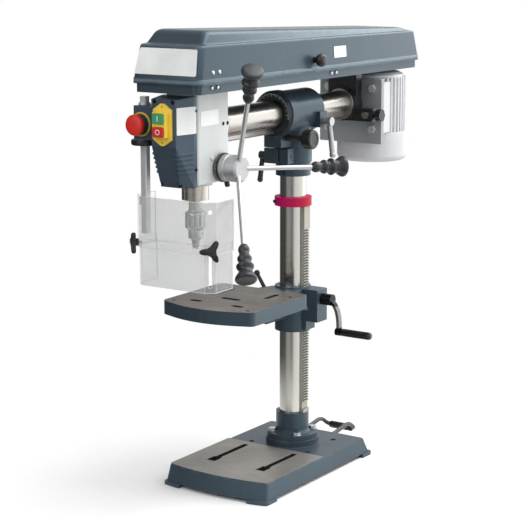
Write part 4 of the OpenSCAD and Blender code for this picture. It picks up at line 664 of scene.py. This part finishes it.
for side, name in ((-1, "left"), (1, "right")):
    out = np.array([side, -1, 0]) / math.sqrt(2)
    face = np.array([side * 91.5, -451.5, 572])
    arm = np.array([-1, -side, 0]) / math.sqrt(2)
    neck = turned([(-6.6, 3), (0.3, 3), (0.3, 8), (6.5, 8), (9, 9)], face, out, 28)
    star_piece = star(face + 11.8 * out, out, arm, 11)
    knob = "guard_knob_" + name
    skin("star_knob_" + name, [neck, star_piece], black_knob, knob, [knob])

# Belt case: a folded steel tray on the head and a pressed steel lid in two tiers, hinged at the left and
# sprayed blue-grey, with a black pull knob, two bare white plates and bright dome screws.
sheet_blue = sprayed("sheet_blue_paint", blue_grey, blue_wear_and_highlight, 0.22, 0.0012, 0.000008, blue_sheen)[0]
lid_blue, tree, surface = sprayed("lid_paint", blue_grey, blue_wear_and_highlight, 0.22, 0.0012, 0.000004, blue_sheen)
# Painted highlight: the lid's convex ridges and folds are tinted pale blue-grey.
folds = spread(tree, step(tree, "NewGeometry", {}, "Pointiness"), 0.512, 0.56, 0.0, 0.62)
coat = surface.inputs["Base Color"].links[0].from_socket
tree.links.new(tint(tree, folds, coat, blue_wear_and_highlight), surface.inputs["Base Color"])
dress(sheet_blue, "belt_tray")
# Each station of the lid, from its rim up: half width, front y, rear y, corner, z at front, z at rear.
stations = [(86, -480, 435, 18, 907.3, 907.3), (86, -480, 435, 18, 914.4, 914.4)]
stations += [(84.4, -478.4, 433.4, 16.5, 915.6, 915.6), (79.7, -461, 419, 15, 982, 973)]
stations += [(73.4, -447, 404, 14, 983.5, 974.5), (65.5, -421, 373, 13, 1011.5, 983.5)]
stations += [(30, -390, 340, 10, 1010.4, 984.7)]
half, front, rear, corner, z_front, z_rear = eased_line(stations, 0.36, 7).T[:, :, None]
loop = outline(half, (rear - front) / 2, corner, 9)
lid_y = (front + rear) / 2 + loop[..., 1]
lid_z = z_front + (z_rear - z_front) * (lid_y - front) / (rear - front)
shell = mm * np.stack([loop[..., 0], lid_y, lid_z], -1)
lid = skin("pressed_lid", [shell], lid_blue, "lid", ["belt_lid"], foot=False)
wall = lid.modifiers.new("sheet", "SOLIDIFY")
wall.thickness = 1.6 * mm
wall.offset = -1
hinge_y = (-324, 279)
barrel_rows = [(0.3, 0), (0.3, 3.6), (0.8, 4), (39.2, 4), (39.7, 3.6), (39.7, 0)]
barrels = [turned(barrel_rows, (-90, y, 911.3), (0, 1, 0), 20) for y in hinge_y]
leaves = [slab((-88, y + 20, 910.2), (0, -1, 0), (1, 0, 0), (39.4, 6), 2.4, 0.8) for y in hinge_y]
skin("lid_hinges", barrels + leaves, sheet_blue, "lid")

plate_z = 949.2
plate = slab((0, -469.8, plate_z), (1, 0, 0), (0, 17.4, 66.4), (148, 54), 0.6, 4)
plate[..., 0] *= 1 - 1.5 * (plate[..., 2] - plate_z * mm)
skin("lid_front_plate", [plate], label_white, "lid")
side_plate = slab((82.5, 63.5, 943), (0, 1, 0), (-4.7, 0, 62.2), (52, 25), 0.5, 2)
skin("lid_side_label", [side_plate], label_white, "lid")
dome = [(-0.6, 4.6), (1.9, 4.6), (3.1, 3.8), (3.8, 2.2), (4.0, 0)]
lid_screws = [turned(dome, (82.4, y, 928), (1, 0, 0.07), 20) for y in (-428, -406)]
skin("lid_screws", lid_screws, zinc, "lid", foot=False)
tray_screws = [turned(dome, (79.6, y, 897.5), (1, 0, 0), 20) for y in (-428, -408, 30, 50)]
skin("tray_screws", tray_screws, zinc, "head", foot=False)
pull_rows = [(-5, 0), (-5, 4), (0, 4), (0, 7), (6, 7), (10, 12.5), (16, 15), (23, 13), (26.4, 8), (27, 0)]
pull = turned(eased_line(pull_rows, 0.3), (83.7, -45, 931.3), (1, 0, 0), 36)
skin("lid_pull", [pull], black_knob, "lid", ["lid_knob"])

# Pulleys and belt: stepped pulleys of cast aluminium, turned bright, one on the spindle and one on the
# motor's shaft, with one V-belt of black rubber between them.
dress(polished("pulley_alloy", chip(190, 191, 193), 0.3, 2, 0.12), "motor_pulley", "spindle_pulley")
dress(moulded("belt_rubber", chip(30, 30, 31), 0.6, 500, 0.00006, 0.0006), "v_belt")

# Motor: bolted to a plate that slides along two rods to tighten the belt. Its finned body and its cowl
# are sprayed light grey, the plate a darker grey, and a black moulded knob locks the slide.
motor_paint, tree, surface = sprayed("motor_paint", chip(216, 217, 220), chip(234, 235, 237), 0.4, 0.0016)
surface.inputs["Specular IOR Level"].default_value = 0.3
dress(motor_paint, "motor_body", "motor_cowl")
dress(sprayed("plate_paint", chip(158, 164, 168), chip(190, 194, 197), 0.4, 0.0016)[0], "motor_plate")
dress(polished("bolt_zinc", chip(214, 216, 218), 0.42, 1, 0.1, 0.55), "motor_bolts")
dress(machined, "motor_rotor")
dress(black_knob, "tension_knob")

# Floor: a plain white studio floor, a flat disc of rings P(r, t) = (r cos t, r sin t) about a point under
# the table. It fades into the white behind it where the part's shadow ends.
spokes = 128
t = np.linspace(0, 2 * np.pi, spokes, endpoint=False)
r = np.array([0.0001, 0.5, 1.2, 2.5, 5.0, 9.0])[:, None]
floor_grid = np.stack([r * np.cos(t), r * np.sin(t) - 0.1, 0 * r * t - 0.0002], -1)
ring = np.arange(spokes)
after = (ring + 1) % spokes
row = np.arange(len(r) - 1)[:, None] * spokes
floor_faces = np.stack([row + ring, row + after, row + after + spokes, row + ring + spokes], -1)
floor_mesh = bpy.data.meshes.new("floor")
floor_mesh.from_pydata(floor_grid.reshape(-1, 3).tolist(), [], floor_faces.reshape(-1, 4).tolist())
floor = bpy.data.objects.new("floor", floor_mesh)
bpy.context.scene.collection.objects.link(floor)
floor_white, tree, surface = finish("floor_white", Roughness=0.9, IOR=1.2)
tone = tint(tree, spread(tree, grain(tree, 3, 3), 0.3, 0.7), chip(246, 246, 246), chip(252, 252, 252))
tree.links.new(tone, surface.inputs["Base Color"])
away = step(tree, "VectorMath", {0: step(tree, "TexCoord", {}, "Object")}, 1, operation="LENGTH")
tree.links.new(spread(tree, away, 0.45, 0.95, 1.0, 0.0), surface.inputs["Alpha"])
floor_mesh.materials.append(floor_white)

# Surroundings and lamps: studio walls that brighten and darken with direction, so that polished bars show
# the bands they show in a studio, and three large soft lamps above, in front and behind. The camera, and
# what it sees through a clear sheet, meet plain white.
world = bpy.data.worlds.new("studio")
bpy.context.scene.world = world
world.use_nodes = True
tree = world.node_tree
way = step(tree, "TexCoord", {}, "Generated")
heading = maths(tree, "ARCTAN2", axis_of(tree, way, 1), axis_of(tree, way, 0))
bands = step(tree, "ValToRGB", {0: spread(tree, heading, -math.pi, math.pi)})
stops = bands.node.color_ramp.elements
walls = [(-180, 0.035), (-122, 0.035), (-112, 0.17), (-84, 0.19), (-76, 0.115), (-57, 0.12)]
walls += [(-46, 0.42), (-10, 0.5), (30, 0.58), (42, 0.86), (85, 0.86), (94, 0.36), (140, 0.36)]
walls += [(152, 0.035), (180, 0.035)]
for degrees, level in walls[1:-1]:
    stops.new((degrees + 180) / 360).color = (level, level, level, 1)
stops[0].color = stops[-1].color = (walls[0][1],) * 3 + (1,)
rise = axis_of(tree, way, 2)
wall = maths(tree, "MULTIPLY", axis_of(tree, bands, 0), spread(tree, rise, -0.5, -0.25, 0.75, 2.4))
overhead = spread(tree, axis_of(tree, way, 0), -0.6, 0.3, 0.3, 0.85)
sky = step(tree, "Mix", {0: spread(tree, rise, 0.55, 0.9), 2: wall, 3: overhead})
through = step(tree, "LightPath", {}, "Is Transmission Ray")
seen = maths(tree, "MAXIMUM", step(tree, "LightPath", {}, "Is Camera Ray"), through)
light = step(tree, "Mix", {0: seen, 2: sky, 3: 1.0})
tree.links.new(light, tree.nodes["Background"].inputs["Strength"])
tree.nodes["Background"].inputs["Color"].default_value = (1, 1, 1, 1)


def soft_lamp(name, at, to, size, watts):
    """A square lamp at a point, turned to face another, as studio soft boxes are."""
    data = bpy.data.lights.new(name, "AREA")
    data.size = size
    data.energy = watts
    lamp = bpy.data.objects.new(name, data)
    lamp.location = at
    lamp.rotation_euler = (Vector(to) - Vector(at)).to_track_quat("-Z", "Y").to_euler()
    bpy.context.scene.collection.objects.link(lamp)


soft_lamp("soft_top", (1.1, 0.55, 3.15), (0, -0.1, 0.6), 2.0, 58)
soft_lamp("soft_front", (-0.3, -2.4, 1.7), (0, -0.4, 0.75), 2.2, 24)
soft_lamp("soft_rear", (0.5, 2.2, 2.3), (0, 0, 0.9), 1.5, 18)

# Camera: it stands where the photograph was taken from, a long way off in front and to the operator's
# right, with a long lens.
camera_data = bpy.data.cameras.new("camera")
camera_data.sensor_width = 36.0
camera_data.lens = 113.56
camera = bpy.data.objects.new("camera", camera_data)
camera.location = (2.0103, -3.1424, 1.1920)
camera.rotation_euler = (math.radians(78.92), 0.0, math.radians(33.62))
bpy.context.scene.collection.objects.link(camera)
bpy.context.scene.camera = camera
bpy.context.scene.view_settings.view_transform = "Standard"
